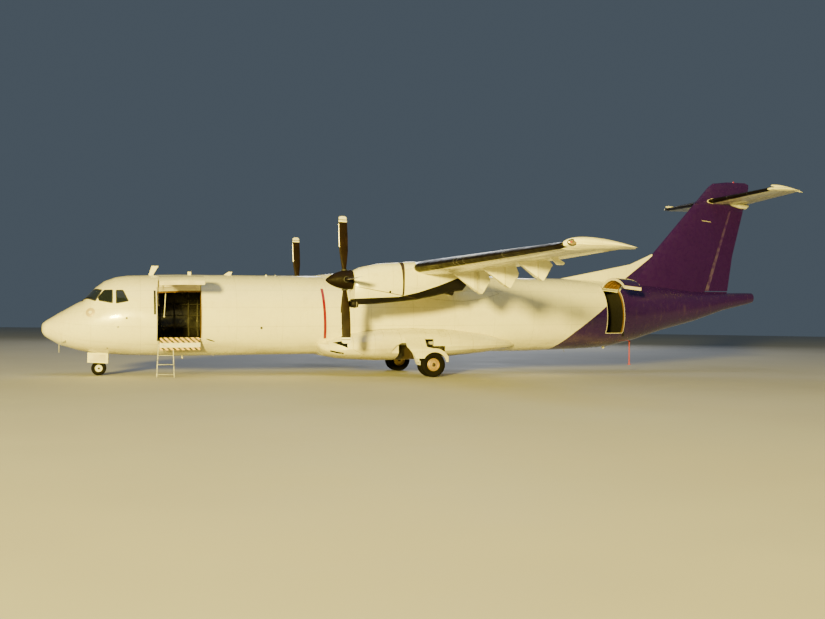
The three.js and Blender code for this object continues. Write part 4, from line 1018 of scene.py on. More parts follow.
print("hold fittings:", sum(name.startswith(("hold", "roller")) for name in made))

# %% [markdown]
# Both doors are shown as they were made: shut in the hull's side, then swung up about their hinges.
# Their inner faces get a lining panel, curved stiffening ribs and a handle, and cream strips line their
# edges. The same turn that raised the solid door raises these pieces, so they stay on it when it moves.

# %% Inner faces of the doors
HINGE_DROP, HINGE_INSET = 0.034, 0.006
DOORS = {  # from, to, sill, head, degrees raised
    "cargo_door": (3.555, 4.950, -0.766, 0.960, 92), "rear_door": (19.750, 20.470, -0.636, 1.095, 78)}


def raised(name):
    """Turns a point of the shut door, in the hull's axes, to where the raised door has it."""
    x0, x1, _, head, angle = DOORS[name]
    z0 = head - HINGE_DROP
    y0 = -hull_side((x0 + x1) / 2, z0) + HINGE_INSET
    c, s = math.cos(math.radians(-angle)), math.sin(math.radians(-angle))

    def turned(x, y, z):
        y, z = y - y0, z - z0
        return hull_point(x, y0 + y * c - z * s, z0 + y * s + z * c)
    return turned


def door_sheet(name, x0, x1, z0, z1, near, far, cuts=12):
    """A curved slab inside the door between two depths under the skin."""
    place = raised(name)
    rings = []
    for k in range(cuts + 1):
        z = z0 + (z1 - z0) * k / cuts
        rings.append([place(x, -hull_side(x, z, -depth), z)
                      for x, depth in ((x0, near), (x1, near), (x1, far), (x0, far))])
    return loft(rings)


AMBER_AND_SUNLIT = worn("amber_lining_and_painted_sunlight", (0.22, 0.115, 0.022), 0.45, second=(0.13, 0.065, 0.014), scale=5,
             wear=(0.10, 0.07, 0.04))
INSET, THIN, FIRST, LAST = 0.0065, 0.008, 0.004, 0.092  # of the edge strips: in, thick, depths
for name, (x0, x1, sill, head, _) in DOORS.items():
    inner = AMBER_AND_SUNLIT if name == "rear_door" else CREAM
    piece(f"{name}_lining", *door_sheet(name, x0 + 0.05, x1 - 0.05, sill + 0.07, head - 0.16, 0.099, 0.106),
          inner, body=name)
    ribs = [door_sheet(name, x - 0.022, x + 0.022, sill + 0.10, head - 0.19, 0.104, 0.134)
            for x in [x0 + 0.16 + (x1 - x0 - 0.32) * k / 3 for k in range(4)]]
    bars = [door_sheet(name, x0 + 0.08, x1 - 0.08, z - 0.02, z + 0.02, 0.104, 0.124, 2)
            for z in [sill + 0.22 + (head - sill - 0.55) * k / 2 for k in range(3)]]
    piece(f"{name}_ribs", *merge(*ribs, *bars), inner, body=name)
    left, right, foot = x0 + INSET, x1 - INSET, sill + INSET
    edges = [door_sheet(name, left, left + THIN, foot, head - 0.10, FIRST, LAST),
             door_sheet(name, right - THIN, right, foot, head - 0.10, FIRST, LAST),
             door_sheet(name, left, right, foot, foot + THIN, FIRST, LAST, 1)]
    piece(f"{name}_edge_strips", *merge(*edges), CREAM, body=name)
    place = raised(name)
    middle, z = (x0 + x1) / 2, sill + 0.30
    grip = [place(middle + d, -hull_side(middle, z, -0.125 - rise), z)
            for d, rise in ((-0.10, 0), (-0.10, 0.05), (0.10, 0.05), (0.10, 0))]
    piece(f"{name}_handle", *tube(grip, 0.012, 8), METAL, body=name, smooth=60)
    rim = [(x0 + 0.03, sill + 0.03), (x1 - 0.03, sill + 0.03), (x1 - 0.03, head - 0.10),
           (x0 + 0.03, head - 0.10), (x0 + 0.03, sill + 0.03)]
    path = [place(x, -hull_side(x, z, -0.103), z) for x, z in stepped(rim, 12)]
    piece(f"{name}_seal", *tube(path, 0.011, 6), GASKET, body=name, smooth=60)
print("door pieces:", sum("_door_" in name for name in made))

# %% [markdown]
# Round each doorway a thin scuff plate is riveted to the skin. Two stay rods hang inside the head of
# the cargo doorway, and a black vent slot lies just ahead of it. Amber panels on the doorway's rear
# jamb and head are painted sunlight, and a black partition closes the hold aft as painted shade.

# %% Doorway fittings
def side_outline(corners, radius):
    """An outline on the port side, its corners given as places along and up the hull."""
    return rounded([Vector((x, -hull_side(x, z), z)) for x, z in corners], radius, 3, 0.08)


for name, (x0, x1, sill, head, _) in DOORS.items():
    line = side_outline([(x0, head), (x1, head), (x1, sill), (x0, sill)], 0.004)
    piece(f"{name[:-5]}_doorway_scuff_plate", *laid_band(line, (0, -1, 0), 0.003, 0.028, 0.002, 0.0), CREAM,
          smooth=50)

STAYS = [((3.600, 0.900), (3.607, 0.390)), ((3.845, 0.900), (3.790, 0.020))]
STAY_Y = -0.905
for k, ((xa, za), (xb, zb)) in enumerate(STAYS):
    head, root, foot = (hull_point(x, STAY_Y, z) for x, z in ((xa, za + 0.125), (xa, za), (xb, zb)))
    rod = tube([head, root, foot], 0.015, 10)
    knob = spun([(0, -0.035), (0.028, -0.02), (0.034, 0), (0.028, 0.02), (0, 0.035)], foot, (0, 0, 1), 16)
    piece(f"cargo_door_stay_{k + 1}", *merge(rod, knob), STEEL, smooth=60)

slot_line = side_outline([(3.452, 0.865), (3.515, 0.865), (3.515, 0.085), (3.452, 0.085)], 0.012)
piece("vent_slot_ahead_of_door", *laid_pane(slot_line, (0, -1, 0), 0.0015), DARK, smooth=60)
piece("vent_slot_rim", *laid_band(slot_line, (0, -1, 0), -0.003, 0.010, 0.004, 0.0), STEEL, smooth=50)

# Painted sunlight: the amber jamb panel and head strip stand for the sun on the doorway's rear jamb and
# head.
JAMB_FOOT, JAMB_HEIGHT, JAMB_RADIUS = -0.772, 1.722, 1.374
rings = []
for k in range(13):
    z = JAMB_FOOT + JAMB_HEIGHT * k / 12
    edge = -math.sqrt(JAMB_RADIUS ** 2 - z * z)
    rings.append([hull_point(x, y, z)
                  for x, y in ((4.954, edge), (4.968, edge), (4.968, -0.80), (4.954, -0.80))])
piece("cargo_aft_jamb_panel", *loft(rings), AMBER_AND_SUNLIT)
STRIP = [(-0.985, 0.905), (-0.965, 0.905), (-0.965, 0.985), (-0.955, 0.985)]
rings = [[hull_point(x, y, z) for y, z in STRIP] for x in (3.565, 4.945)]
piece("cargo_head_strip", *loft(rings), AMBER_AND_SUNLIT)
# Painted shade: a black sheet across the hold aft keeps the room dark behind the doorway.
SHADE_PARTITION = worn("aft_partition_painted_shade", (0.006, 0.005, 0.005), 0.9, second=(0.004, 0.003, 0.003),
                 scale=6, grain=200)
HALF_ROOM = 1.17
outline = []
for k in range(25):
    a = math.pi * k / 24
    outline.append((HALF_ROOM * math.cos(a), 0.06 + HALF_ROOM * math.sin(a)))
outline += [(-HALF_ROOM, -0.77), (HALF_ROOM, -0.77)]
rings = [[hull_point(x, y, z) for y, z in outline] for x in (20.515, 20.530)]
piece("hold_aft_partition", *loft(rings), SHADE_PARTITION)
print("doorway fittings placed:", len(made), "pieces in all")

# %% [markdown]
# The propellers are parked feathered, so their blades show their flat sides from abeam. Each blade is
# swept through closely spaced sections that thin and narrow towards the tip. The spinner is one smooth
# turned shell with a separate cap. These replace the faceted solids of the same place and size.

# %% Propeller blades and spinners
BLADE_ROWS = [  # radius, chord, thickness, degrees from the spin axis
    (0.060, 0.128, 0.118, 0), (0.330, 0.128, 0.108, 2), (0.520, 0.188, 0.070, 4), (0.900, 0.288, 0.042, 8),
    (1.350, 0.308, 0.028, 12), (1.750, 0.298, 0.020, 14), (1.930, 0.266, 0.014, 15),
    (1.965, 0.215, 0.010, 15), (1.978, 0.120, 0.007, 15)]
HUB = (9.079, 1.142, 0.0267)
ENGINE_OUT = 4.05


def power_point(side, x, y, z):
    """A point about the thrust line, x aft of the hub, in the frame's own place."""
    hub_x, hub_z, tilt = HUB
    c, s = math.cos(tilt), math.sin(tilt)
    return hull_point(hub_x + x * c - z * s, side * ENGINE_OUT + y, hub_z + x * s + z * c)


def blade_rings(along_from=-1.0, along_to=1.0, grow=0.0, start=0.06, stop=2.0, sides=20):
    """Rings of one blade standing up; the two limits keep only a strip of its width."""
    radii = sorted({row[0] for row in BLADE_ROWS} | {0.06 + 0.08 * k for k in range(25)})
    rings = []
    for radius in [r for r in radii if start <= r <= stop]:
        chord, thick, angle = read(BLADE_ROWS, radius)
        turn = math.radians(angle)
        ring = []
        for a in turns(sides):
            u = min(max(math.cos(a), along_from), along_to)
            v = math.copysign(math.sqrt(max(0.0, 1 - u * u)), math.sin(a)) * (1 - 0.35 * u)
            along, across = (chord / 2 + grow) * u, (thick / 2 + grow) * v
            ring.append((along * math.cos(turn) - across * math.sin(turn),
                         along * math.sin(turn) + across * math.cos(turn), radius))
        rings.append(ring)
    return rings


def quarter_turned(side, k, points):
    """Points of the blade that stands up, turned by k quarter turns and set at the hub."""
    c, s = math.cos(math.pi / 2 * k), math.sin(math.pi / 2 * k)
    return [power_point(side, x, y * c - z * s, y * s + z * c) for x, y, z in points]


def turned_blades(side, rings):
    return merge(*[loft([quarter_turned(side, k, ring) for ring in rings]) for k in range(4)])


def blade_paint():
    """Brown black, with a white tip crossed by one dark band, worked out from the radius."""
    f = Finish("propeller_blade_paint", (0.010, 0.0055, 0.004), rough=0.5)
    f.shader.inputs["Specular IOR Level"].default_value = 0.1
    f.clouds(4.0, (0.020, 0.011, 0.008), 0.4, 0.7, 0.7)
    _, y, z = f.split(hull_axes(f))
    out = f.sum("SUBTRACT", f.sum("ABSOLUTE", y), ENGINE_OUT)
    up = f.sum("SUBTRACT", z, HUB[1])
    radius = f.sum("POWER", f.sum("ADD", f.times(out, out), f.times(up, up)), 0.5)
    f.tint(f.ramp(radius, 1.795, 1.798), (0.80, 0.76, 0.64))
    f.tint(f.within(radius, 1.852, 1.879, 0.003), (0.05, 0.035, 0.03))
    f.tint(f.ramp(f.noise(26.0, 5.0, roughness=0.7), 0.6, 0.72, 0.0, 0.25), (0.09, 0.065, 0.05))
    f.lift(f.noise(120, 3.0))
    return f.finish(bump=0.2, distance=0.001, rough_spread=0.14)


BLADE_PAINT = blade_paint()
SPINNER_ROWS = [(0.0, -0.600), (0.024, -0.593), (0.052, -0.570), (0.100, -0.512), (0.140, -0.452),
                (0.185, -0.370), (0.222, -0.285), (0.252, -0.195), (0.276, -0.100), (0.294, 0.010),
                (0.305, 0.115), (0.310, 0.224)]
for label, side in SIDES:
    body = f"propeller_{label}"
    centre = power_point(side, 0, 0, 0)
    axis = power_point(side, 1, 0, 0) - centre
    hub = spun([(0, -0.20), (0.148, -0.20), (0.150, -0.18), (0.150, 0.22), (0.146, 0.24), (0, 0.24)],
               centre, axis, 48)
    blades = piece(f"propeller_blades_{label}", *merge(turned_blades(side, blade_rings()), hub), BLADE_PAINT,
                   body=body, smooth=50)
    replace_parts(blades, f"propeller_{label}")
    # The metal leading edges are real; their warm cream colour is a painted sunlit sheen.
    edge = blade_rings(-1.0, -0.86, 0.0012, 0.95, 1.80, 28)
    piece(f"propeller_metal_edge_{label}", *turned_blades(side, edge), METAL_EDGE_AND_SHEEN, body=body, smooth=60)
    cuff = spun([(0.070, 0.286), (0.096, 0.286), (0.094, 0.325), (0.080, 0.330)], (0, 0, 0), (0, 0, 1), 32)
    cuffs = [(quarter_turned(side, k, cuff[0]), cuff[1]) for k in range(4)]
    piece(f"blade_root_seals_{label}", *merge(*cuffs), GASKET, body=body, smooth=50)
    shell = spun(SPINNER_ROWS[3:] + [(0.294, 0.224), (0.294, 0.205), (0.151, 0.205)], centre, axis, 64)
    shell = piece(f"spinner_shell_{label}", *shell, BLADE, body=body, smooth=50)
    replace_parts(shell, f"spinner_{label}")
    cap = spun(SPINNER_ROWS[:4] + [(0.088, -0.508), (0.0, -0.560)], centre, axis, 64)
    piece(f"spinner_cap_{label}", *cap, BLADE, body=body, smooth=50)
    for place, radius, count in ((0.180, 0.3085, 24), (-0.510, 0.1015, 12)):
        ring = {"Count": count, "Circle radius": radius, "Bolt radius": 0.006, "Bolt height": 0.003,
                "Sides": 8}
        grown(f"spinner_screws_{label}_{'back' if place > 0 else 'cap'}", BOLTS, ring, HOT,
              facing(power_point(side, place, 0, 0), axis), body)
print("propeller pieces:", sum("propeller" in name or "spinner" in name for name in made))

# %% [markdown]
# The nose ends in a radome, a smooth moulded cap with its own seam. It is drawn through closely spaced
# rings so that the tip is round, and it stands two millimetres proud of the skin behind it.

# %% Radome
RADOME_END, RADOME_SIDES, RADOME_PROUD = 0.62, 56, 0.002
ROUND_END = 0.19  # up to here the nose is round, and aft of it the table gives its sizes
TIP_AHEAD = 0.005


def radome_ring(share):
    """Rings crowd towards the tip; their sizes follow a round-nosed curve."""
    x = RADOME_END * share ** 2.2
    sizes = read(HULL, max(x, ROUND_END))
    if x < ROUND_END:
        top, bottom, half, _ = sizes
        part = (x + TIP_AHEAD) / (ROUND_END + TIP_AHEAD)
        k = math.sqrt(part) * (1.16 - 0.16 * part)
        tip = NOSE_TIP_HEIGHT
        sizes = tip + (top - tip) * k, tip + (bottom - tip) * k, half * k, tip
    return [section_point(x, sizes, turn, RADOME_PROUD) for turn in turns(RADOME_SIDES)]


tip_ring = []
for n, turn in enumerate(turns(RADOME_SIDES)):
    tip_ring.append(hull_point(-0.007 + 0.0001 * math.cos(n), 0.002 * math.sin(turn),
                               NOSE_TIP_HEIGHT + 0.002 * math.cos(turn)))
rings = [tip_ring] + [radome_ring(k / 20) for k in range(1, 21)]
piece("radome", *loft(rings), HULL_PAINT, smooth=60)
seam_rings = []
for x, proud in ((0.622, -0.002), (0.622, 0.003), (0.630, 0.003), (0.630, -0.002)):
    seam_rings.append([section_point(x, read(HULL, x), turn, proud) for turn in turns(RADOME_SIDES)])
piece("radome_seam", *loft(seam_rings + seam_rings[:1], caps=False), COWL_PAINT, smooth=60)
print("radome faces:", made["radome"])

# %% [markdown]
# The nacelle's cowls are joined by a dark band round the waist, a brown line that slopes aft along
# each side is the painted shadow of a blade, and a small drain hole sits below it. Under the spinner
# the intake has a rounded lip, and the flattened exhaust ends at the back of the black lower shell.

# %% Nacelle fittings
NACELLE = [  # x, top, bottom, half width
    (9.330, 1.420, 0.390, 0.350), (9.400, 1.470, 0.372, 0.385), (9.600, 1.550, 0.368, 0.435),
    (10.150, 1.660, 0.392, 0.485), (10.770, 1.700, 0.455, 0.500), (11.350, 1.728, 0.512, 0.500),
    (12.050, 1.600, 0.645, 0.460), (12.600, 1.450, 0.780, 0.360), (12.950, 1.330, 0.815, 0.240),
    (13.075, 1.220, 0.960, 0.150)]
COWL_POWER = 2.6
INTAKE_HEIGHT, INTAKE_HALF_WIDTH, INTAKE_HALF_HEIGHT, INTAKE_POWER = 0.400, 0.205, 0.085, 0.7


def nacelle_at(side, x, turn, proud):
    """A point on the nacelle; turn 0 is its top, a quarter turn its outer side."""
    top, bottom, half = read(NACELLE, x)
    out = (half + proud) * bent(math.sin(turn), 2 / COWL_POWER)
    up = ((top - bottom) / 2 + proud) * bent(math.cos(turn), 2 / COWL_POWER)
    return hull_point(x, side * (ENGINE_OUT + out), (top + bottom) / 2 + up)


def nacelle_turn(x, z):
    """The turn at which the nacelle's side has a height."""
    top, bottom, _ = read(NACELLE, x)
    share = max(-1.0, min(1.0, (z - (top + bottom) / 2) / ((top - bottom) / 2)))
    return math.acos(bent(share, COWL_POWER / 2))


def nacelle_strip(side, face, line, width, proud):
    """A thin strip along a line of places on one face of the nacelle."""
    rings = []
    for x, z in line:
        rings.append([nacelle_at(side, x, face * nacelle_turn(x, z + dz), lift)
                      for dz, lift in ((-width / 2, -0.002), (-width / 2, proud), (width / 2, proud),
                                       (width / 2, -0.002))])
    return loft(rings)


def intake_rings(side, rows):
    """Rings round the intake; a row tells how far aft and how much larger than the opening."""
    return [[hull_point(x, side * ENGINE_OUT + (INTAKE_HALF_WIDTH + grow) * bent(math.sin(a), INTAKE_POWER),
                        INTAKE_HEIGHT + (INTAKE_HALF_HEIGHT + grow) * bent(math.cos(a), INTAKE_POWER))
             for a in turns(40)] for x, grow in rows]


def exhaust_ring(side, x, width, height, z):
    """A flat oval; behind the cowl its top is drawn a little aft."""
    drawn = 0.10 if x > 12.5 else 0.0
    return [hull_point(x + drawn * max(0.0, math.cos(a)), side * ENGINE_OUT + width * math.sin(a),
                       z + height * math.cos(a)) for a in turns(36)]


# Brown for the waist band and the hub covers, and for the painted blade shadow on the cowls.
BROWN_AND_SHADOW = worn("cowl_seal_brown", (0.030, 0.017, 0.009), 0.5, second=(0.018, 0.011, 0.007), scale=7)
for label, side in SIDES:
    reach = nacelle_turn(10.85, 0.66)
    rings = []
    for k in range(41):
        turn = -reach + 2 * reach * k / 40
        half = 0.030 + 0.035 * max(0.0, math.cos(turn))
        rings.append([nacelle_at(side, x, turn, lift) for x, lift in (
            (10.860 - half, -0.002), (10.860 - half, 0.004), (10.860 + half, 0.004),
            (10.860 + half, -0.002))])
    piece(f"nacelle_band_{label}", *loft(rings), BROWN_AND_SHADOW, smooth=50)
    # Painted shadow: a thin brown strip sloping aft from the spinner stands for a blade's shadow on each
    # face of the cowl.
    line = [(9.34 + 0.1 * k, 0.940 - 0.183 * (0.09 + 0.1 * k)) for k in range(21)]
    seals = [nacelle_strip(side, face, line, 0.016, 0.003) for face in (1, -1)]
    piece(f"cowl_seal_{label}", *merge(*seals), BROWN_AND_SHADOW, smooth=50)
    rings = [[nacelle_at(side, x, -1.1 + 2.2 * k / 24, lift) for k in range(25)]
             + [nacelle_at(side, x, -1.1 + 2.2 * k / 24, -0.004) for k in range(24, -1, -1)]
             for x, lift in ((10.935, 0.004), (11.05, 0.012), (11.30, 0.012))]
    piece(f"wing_joint_cuff_{label}", *loft(rings), WING_PAINT, smooth=50)
    for face in (1, -1):
        turn = face * nacelle_turn(10.428, 0.76)
        at, out = nacelle_at(side, 10.428, turn, 0.0), nacelle_at(side, 10.428, turn, 0.01)
        axis = (out - at).normalized()
        name = f"cowl_drain_{label}_{'outer' if face > 0 else 'inner'}"
        piece(name, *spun([(0.0, 0.001), (0.026, 0.001), (0.028, 0.004), (0.036, 0.004), (0.037, -0.004),
                           (0.0, -0.004)], at, axis, 24), DARK, smooth=50)
    lip = intake_rings(side, [
        (9.300, -0.030), (9.262, -0.014), (9.250, 0.004), (9.258, 0.022), (9.300, 0.040), (9.400, 0.048),
        (9.470, 0.036), (9.470, 0.020), (9.400, 0.006), (9.330, -0.020)])
    piece(f"intake_lip_{label}", *loft(lip + lip[:1], caps=False), BLACK, smooth=60)
    bright = intake_rings(side, [(9.398, 0.040), (9.398, 0.052), (9.422, 0.052), (9.422, 0.036)])
    piece(f"intake_ring_{label}", *loft(bright + bright[:1], caps=False), METAL_EDGE_AND_SHEEN, smooth=40)
    duct = [exhaust_ring(side, *row) for row in (
        (12.20, 0.20, 0.105, 0.86), (12.45, 0.20, 0.105, 0.80), (12.62, 0.19, 0.10, 0.765),
        (12.63, 0.175, 0.086, 0.765), (12.40, 0.18, 0.088, 0.81), (12.30, 0.02, 0.01, 0.83))]
    piece(f"exhaust_duct_{label}", *loft(duct), BLACK, smooth=50)
count = sum(name.startswith(("nacelle", "cowl", "intake", "exhaust", "wing_j")) for name in made)
print("nacelle pieces:", count)

# %% [markdown]
# Black rubber boots that shed ice wrap the leading edges of the wing and the tailplane; in the
# photograph they are the darkest part of both. They follow the same section as the solid wing, a few
# millimetres proud, and thin seams divide them into lengths.

# %% Boots on the leading edges
WING = [  # span, leading edge x, height, chord, thickness over chord
    (0.000, 11.1800, 1.5200, 2.5700, 0.1800), (4.650, 11.1800, 1.5200, 2.5700, 0.1800),
    (13.252, 11.8628, 1.5798, 1.6181, 0.1304), (13.290, 11.8850, 1.5960, 1.9600, 0.1050),
    (13.450, 12.0100, 1.6120, 1.7650, 0.0900), (13.525, 12.2900, 1.6220, 1.2500, 0.0500)]
TAILPLANE = [
    (0.000, 24.930, 4.590, 1.960, 0.12), (3.480, 25.230, 4.660, 1.370, 0.11),
    (3.610, 25.330, 4.665, 1.190, 0.09), (3.655, 25.560, 4.670, 0.800, 0.05)]
INCIDENCE, CAMBER = 0.03, 0.02


def half_thickness(f, t):
    return 5 * t * (0.2969 * math.sqrt(f) - 0.126 * f - 0.3516 * f ** 2 + 0.2843 * f ** 3
                    - 0.1036 * f ** 4) + 0.0015


def foil_point(table, side, span, f, proud):
    """A point on a wing's skin; f runs from -1 at the lower trailing edge to 1 at the upper one."""
    x, z, chord, t = read(table, span)
    g = abs(f)
    rise = CAMBER * 4 * g * (1 - g) + math.copysign(half_thickness(g, t), f)
    lift = math.copysign(proud, f)
    ahead = proud * max(0.0, 1 - g / 0.02)
    return hull_point(x + g * chord - ahead, side * span, z + (rise - g * INCIDENCE) * chord + lift)


def foil_sheet(table, side, spans, low, high, proud):
    """A closed skin round the leading edge, from a lower share of the chord to an upper one."""
    shares = []
    for k in range(17):
        u = k / 8 - 1
        shares.append(math.copysign(u * u * (high if u > 0 else low), u))
    rings = []
    for span in spans:
        outer = [foil_point(table, side, span, f, proud) for f in shares]
        inner = [foil_point(table, side, span, f, -0.003) for f in reversed(shares)]
        rings.append(outer + inner)
    return loft(rings)


def between(start, stop, count):
    return [start + (stop - start) * k / count for k in range(count + 1)]


for label, side in SIDES:
    # Over the upper surface the black sheet runs on to about a third of the wing's chord and a quarter of
    # the tailplane's, beyond a real boot, as painted shade on the unlit top.
    spans = between(4.62, 13.25, 26) + [13.292, 13.374]
    piece(f"wing_boot_{label}", *foil_sheet(WING, side, spans, 0.060, 0.360, 0.004), BOOT, smooth=60)
    boot = foil_sheet(TAILPLANE, side, between(0.17, 3.42, 10), 0.10, 0.26, 0.003)
    piece(f"tailplane_boot_{label}", *boot, BOOT, smooth=60)
    seams_here = [foil_sheet(WING, side, [span - 0.005, span + 0.005], 0.062, 0.363, 0.0052)
                  for span in (4.63, 7.55, 7.80, 8.20, 10.55)]
    piece(f"wing_boot_seams_{label}", *merge(*seams_here), METAL, smooth=60)
    seams_here = [foil_sheet(TAILPLANE, side, [span - 0.004, span + 0.004], 0.102, 0.262, 0.0042)
                  for span in (1.25, 2.35)]
    piece(f"tailplane_boot_seams_{label}", *merge(*seams_here), METAL, smooth=60)
    root = foil_sheet(TAILPLANE, side, [0.125, 0.168], 0.11, 0.12, 0.010)
    piece(f"tailplane_root_ring_{label}", *root, WING_PAINT, smooth=60)
print("boots:", sum("boot" in name for name in made))

# %% [markdown]
# The wing ends in a moulded tip with a bright lamp cover in a gasket and two lamps on it, and a fairing
# hangs under the aileron's hinge. The tailplane ends in pointed white fairings that stand above its
# surface, and a bracket under its middle reaches back to the elevators.

# %% Tips, lenses and horns
def teardrop(x, y, z, length, height, width, droop):
    """A pointed body along the hull, blunt in front; its tail drops by the droop."""
    rings = []
    for k in range(23):
        s = (k / 22) ** 1.6
        full = math.sqrt(max(0.0, s)) * (1 - s) ** 0.8 * 1.72 + 0.004
        middle = z - droop * s ** 1.5
        rings.append([hull_point(x + length * s, y + width * full * math.sin(a),
                                 middle + height * full * math.cos(a)) for a in turns(20)])
    return loft(rings)


TIP = [(13.378, 11.945, 1.632, 1.905, 0.130), (13.41, 11.975, 1.650, 1.865, 0.132),
       (13.45, 12.015, 1.665, 1.790, 0.120), (13.51, 12.150, 1.675, 1.590, 0.085),
       (13.55, 12.420, 1.680, 1.200, 0.040)]
TIP_TAIL = 1.560  # the tip's trailing edge is level at this height


def tip_point(side, span, f):
    """A point on the tip's skin; f is a share of the chord as in foil_point."""
    x, z, chord, t = read(TIP, span)
    g = abs(f)
    rise = CAMBER * 4 * g * (1 - g) + math.copysign(half_thickness(g, t), f)
    return hull_point(x + g * chord, side * span, z + rise * chord - g * (z - TIP_TAIL))


def bubble(side, centre, half, sides=28, rings=14):
    """A closed egg-shaped cover on the wing tip; its half sizes run along, across and up."""
    (x, y, z), (length, width, height) = centre, half
    shape = []
    for k in range(1, rings):
        a = math.pi * (k / rings - 0.5)
        shape.append([hull_point(x + length * math.sin(a), side * (y + width * math.cos(a) * math.cos(t)),
                                 z + height * math.cos(a) * math.sin(t)) for t in turns(sides)])
    return loft(shape)


TIP_LAMP = worn("lamp_reflector", (0.85, 0.62, 0.20), 0.2, metal=0.9, scale=12)
for label, side in SIDES:
    shares = [(k / 18 - 1) ** 2 * (1 if k > 18 else -1) for k in range(37)]
    rings = [[tip_point(side, span, f) for f in shares] for span in (
        13.378, 13.395, 13.41, 13.43, 13.45, 13.48, 13.51, 13.535, 13.55)]
    piece(f"wing_tip_cap_{label}", *loft(rings), COWL_PAINT, smooth=60)
    middle = (12.128, 13.482, 1.643)
    piece(f"tip_lens_{label}", *bubble(side, middle, (0.118, 0.042, 0.066)), TIP_LAMP, smooth=60)
    piece(f"tip_lens_gasket_{label}", *bubble(side, middle, (0.134, 0.033, 0.078)), GASKET, smooth=60)
    for k, (x, z, finish) in enumerate(((12.085, 1.648, RED_LENS if side < 0 else GREEN_LENS),
                                        (12.160, 1.640, LENS))):
        piece(f"tip_lamp_{label}_{k}", *bubble(side, (x, 13.512, z), (0.022, 0.022, 0.020), 16, 8), finish,
              smooth=60)
    horn = teardrop(25.32, side * 3.505, 4.785, 1.40, 0.078, 0.062, 0.205)
    piece(f"horn_fairing_{label}", *horn, WING_PAINT, smooth=50)
    outline = [(12.72, 1.520), (12.98, 1.285), (13.16, 1.285), (13.20, 1.330), (13.03, 1.440),
               (12.97, 1.520)]
    rings = []
    for across, share in ((-0.030, 0.86), (-0.018, 1.0), (0.018, 1.0), (0.030, 0.86)):
        rings.append([hull_point(12.99 + (x - 12.99) * share, side * (10.95 + across),
                                 1.39 + (z - 1.39) * share) for x, z in outline])
    piece(f"aileron_hinge_fairing_{label}", *loft(rings), WING_PAINT, smooth=30)
    rows = [(25.90, 0.06, 4.600, 0.030), (26.08, 0.115, 4.530, 0.080), (26.42, 0.125, 4.470, 0.115),
            (26.74, 0.110, 4.420, 0.105), (26.88, 0.060, 4.460, 0.040)]
    rings = [[hull_point(x, side * (0.10 + w * math.sin(a)), z + h * math.cos(a)) for a in turns(16)]
             for x, w, z, h in rows]
    piece(f"tailplane_bracket_{label}", *loft(rings), WING_PAINT, smooth=40)
print("horns and lenses ready")

# %% [markdown]
# The rudder's gap is closed by a strip ahead of its hinge line and by fillers above and below it, which
# the rudder passes with a few millimetres to spare. A small vent strip lies on each side of the fin.

# %% Fin and rudder
FIN = [  # height, leading edge x, chord, thickness over chord
    (0.900, 21.045, 4.865, 0.095), (2.400, 22.450, 3.720, 0.100), (4.440, 24.365, 2.390, 0.110),
    (5.180, 25.060, 1.910, 0.100), (5.330, 25.280, 1.690, 0.080), (5.400, 25.900, 0.900, 0.050)]
FILLER_SHARE = 0.94  # the fillers are thinner than the fin


def hinge_x(z):
    return 24.825 + (z - 1.040) * 0.3655


def fin_half(z, x):
    nose, chord, t = read(FIN, z)
    return half_thickness(min(1.0, max(0.0, (x - nose) / chord)), t) * chord


def fin_filler(z_low, z_high, x_from):
    """A thin body of the fin's section from a hinge place aft, between two heights."""
    rings = []
    for z in (z_low, z_high):
        nose, chord, _ = read(FIN, z)
        xs = [x_from(z) + (nose + chord - 0.01 - x_from(z)) * k / 8 for k in range(9)]
        rings.append([hull_point(x, FILLER_SHARE * fin_half(z, x), z) for x in xs]
                     + [hull_point(x, -FILLER_SHARE * fin_half(z, x), z) for x in reversed(xs)])
    return loft(rings)


strip = []
for z in (0.99, 4.29):
    x = hinge_x(z)
    strip.append([hull_point(x - 0.060, -0.003, z), hull_point(x - 0.012, -0.003, z),
                  hull_point(x - 0.012, 0.003, z), hull_point(x - 0.060, 0.003, z)])
piece("rudder_gap_strip", *loft(strip), TAIL_PAINT)
piece("rudder_head_filler", *fin_filler(4.260, 4.289, hinge_x), TAIL_PAINT)
piece("rudder_foot_filler", *fin_filler(0.905, 0.952, lambda z: hinge_x(z) + 0.02), TAIL_PAINT)
vents = []
for side in (-1, 1):
    ring = []
    for along in (0.0, 0.42):
        x, z = 24.66 + along, 3.800 - 0.1 * along
        ring.append([hull_point(x, side * (fin_half(z, x) + lift), z + dz)
                     for dz, lift in ((-0.008, -0.002), (-0.005, 0.008), (0.005, 0.008), (0.008, -0.002))])
    vents.append(loft(ring))
piece("fin_vent_strips", *merge(*vents), WING_PAINT, smooth=40)
piece("fin_head_lamp", *spun([(0.0, 0.055), (0.020, 0.050), (0.032, 0.030), (0.036, 0.0), (0.036, -0.02),
                              (0.0, -0.02)], hull_point(26.25, 0, 5.395), (0, 0, 1), 24), RED_LENS,
      smooth=60)
print("fin pieces ready")

# %% [markdown]
# The main gear folds into the belly fairing and carries two wheels a side; the nose gear has two small
# ones. Smooth grooved tyres replace the faceted ones of the same size. The hubs are gold alloy with a
# ring of bolts, a dark brake pack sits between the wheels, and the pistons are bright chrome.

# %% Tyres, hubs and brakes
def ground(x, y, z):
    """A place aft of the nose, across and above the ground; the gear stands level."""
    return Vector((x - HALF_LENGTH, y, z))


MAIN_TYRE, MAIN_TYRE_WIDTH, MAIN_RIM = 0.425, 0.245, 0.215
NOSE_TYRE, NOSE_TYRE_WIDTH, NOSE_RIM_RADIUS = 0.235, 0.175, 0.112
LEG_OUT, MAIN_SPACING, NOSE_SPACING = 2.05, 0.19, 0.165
MAIN_AXLE, NOSE_AXLE = ground(12.600, 0, MAIN_TYRE), ground(1.775, 0, NOSE_TYRE)


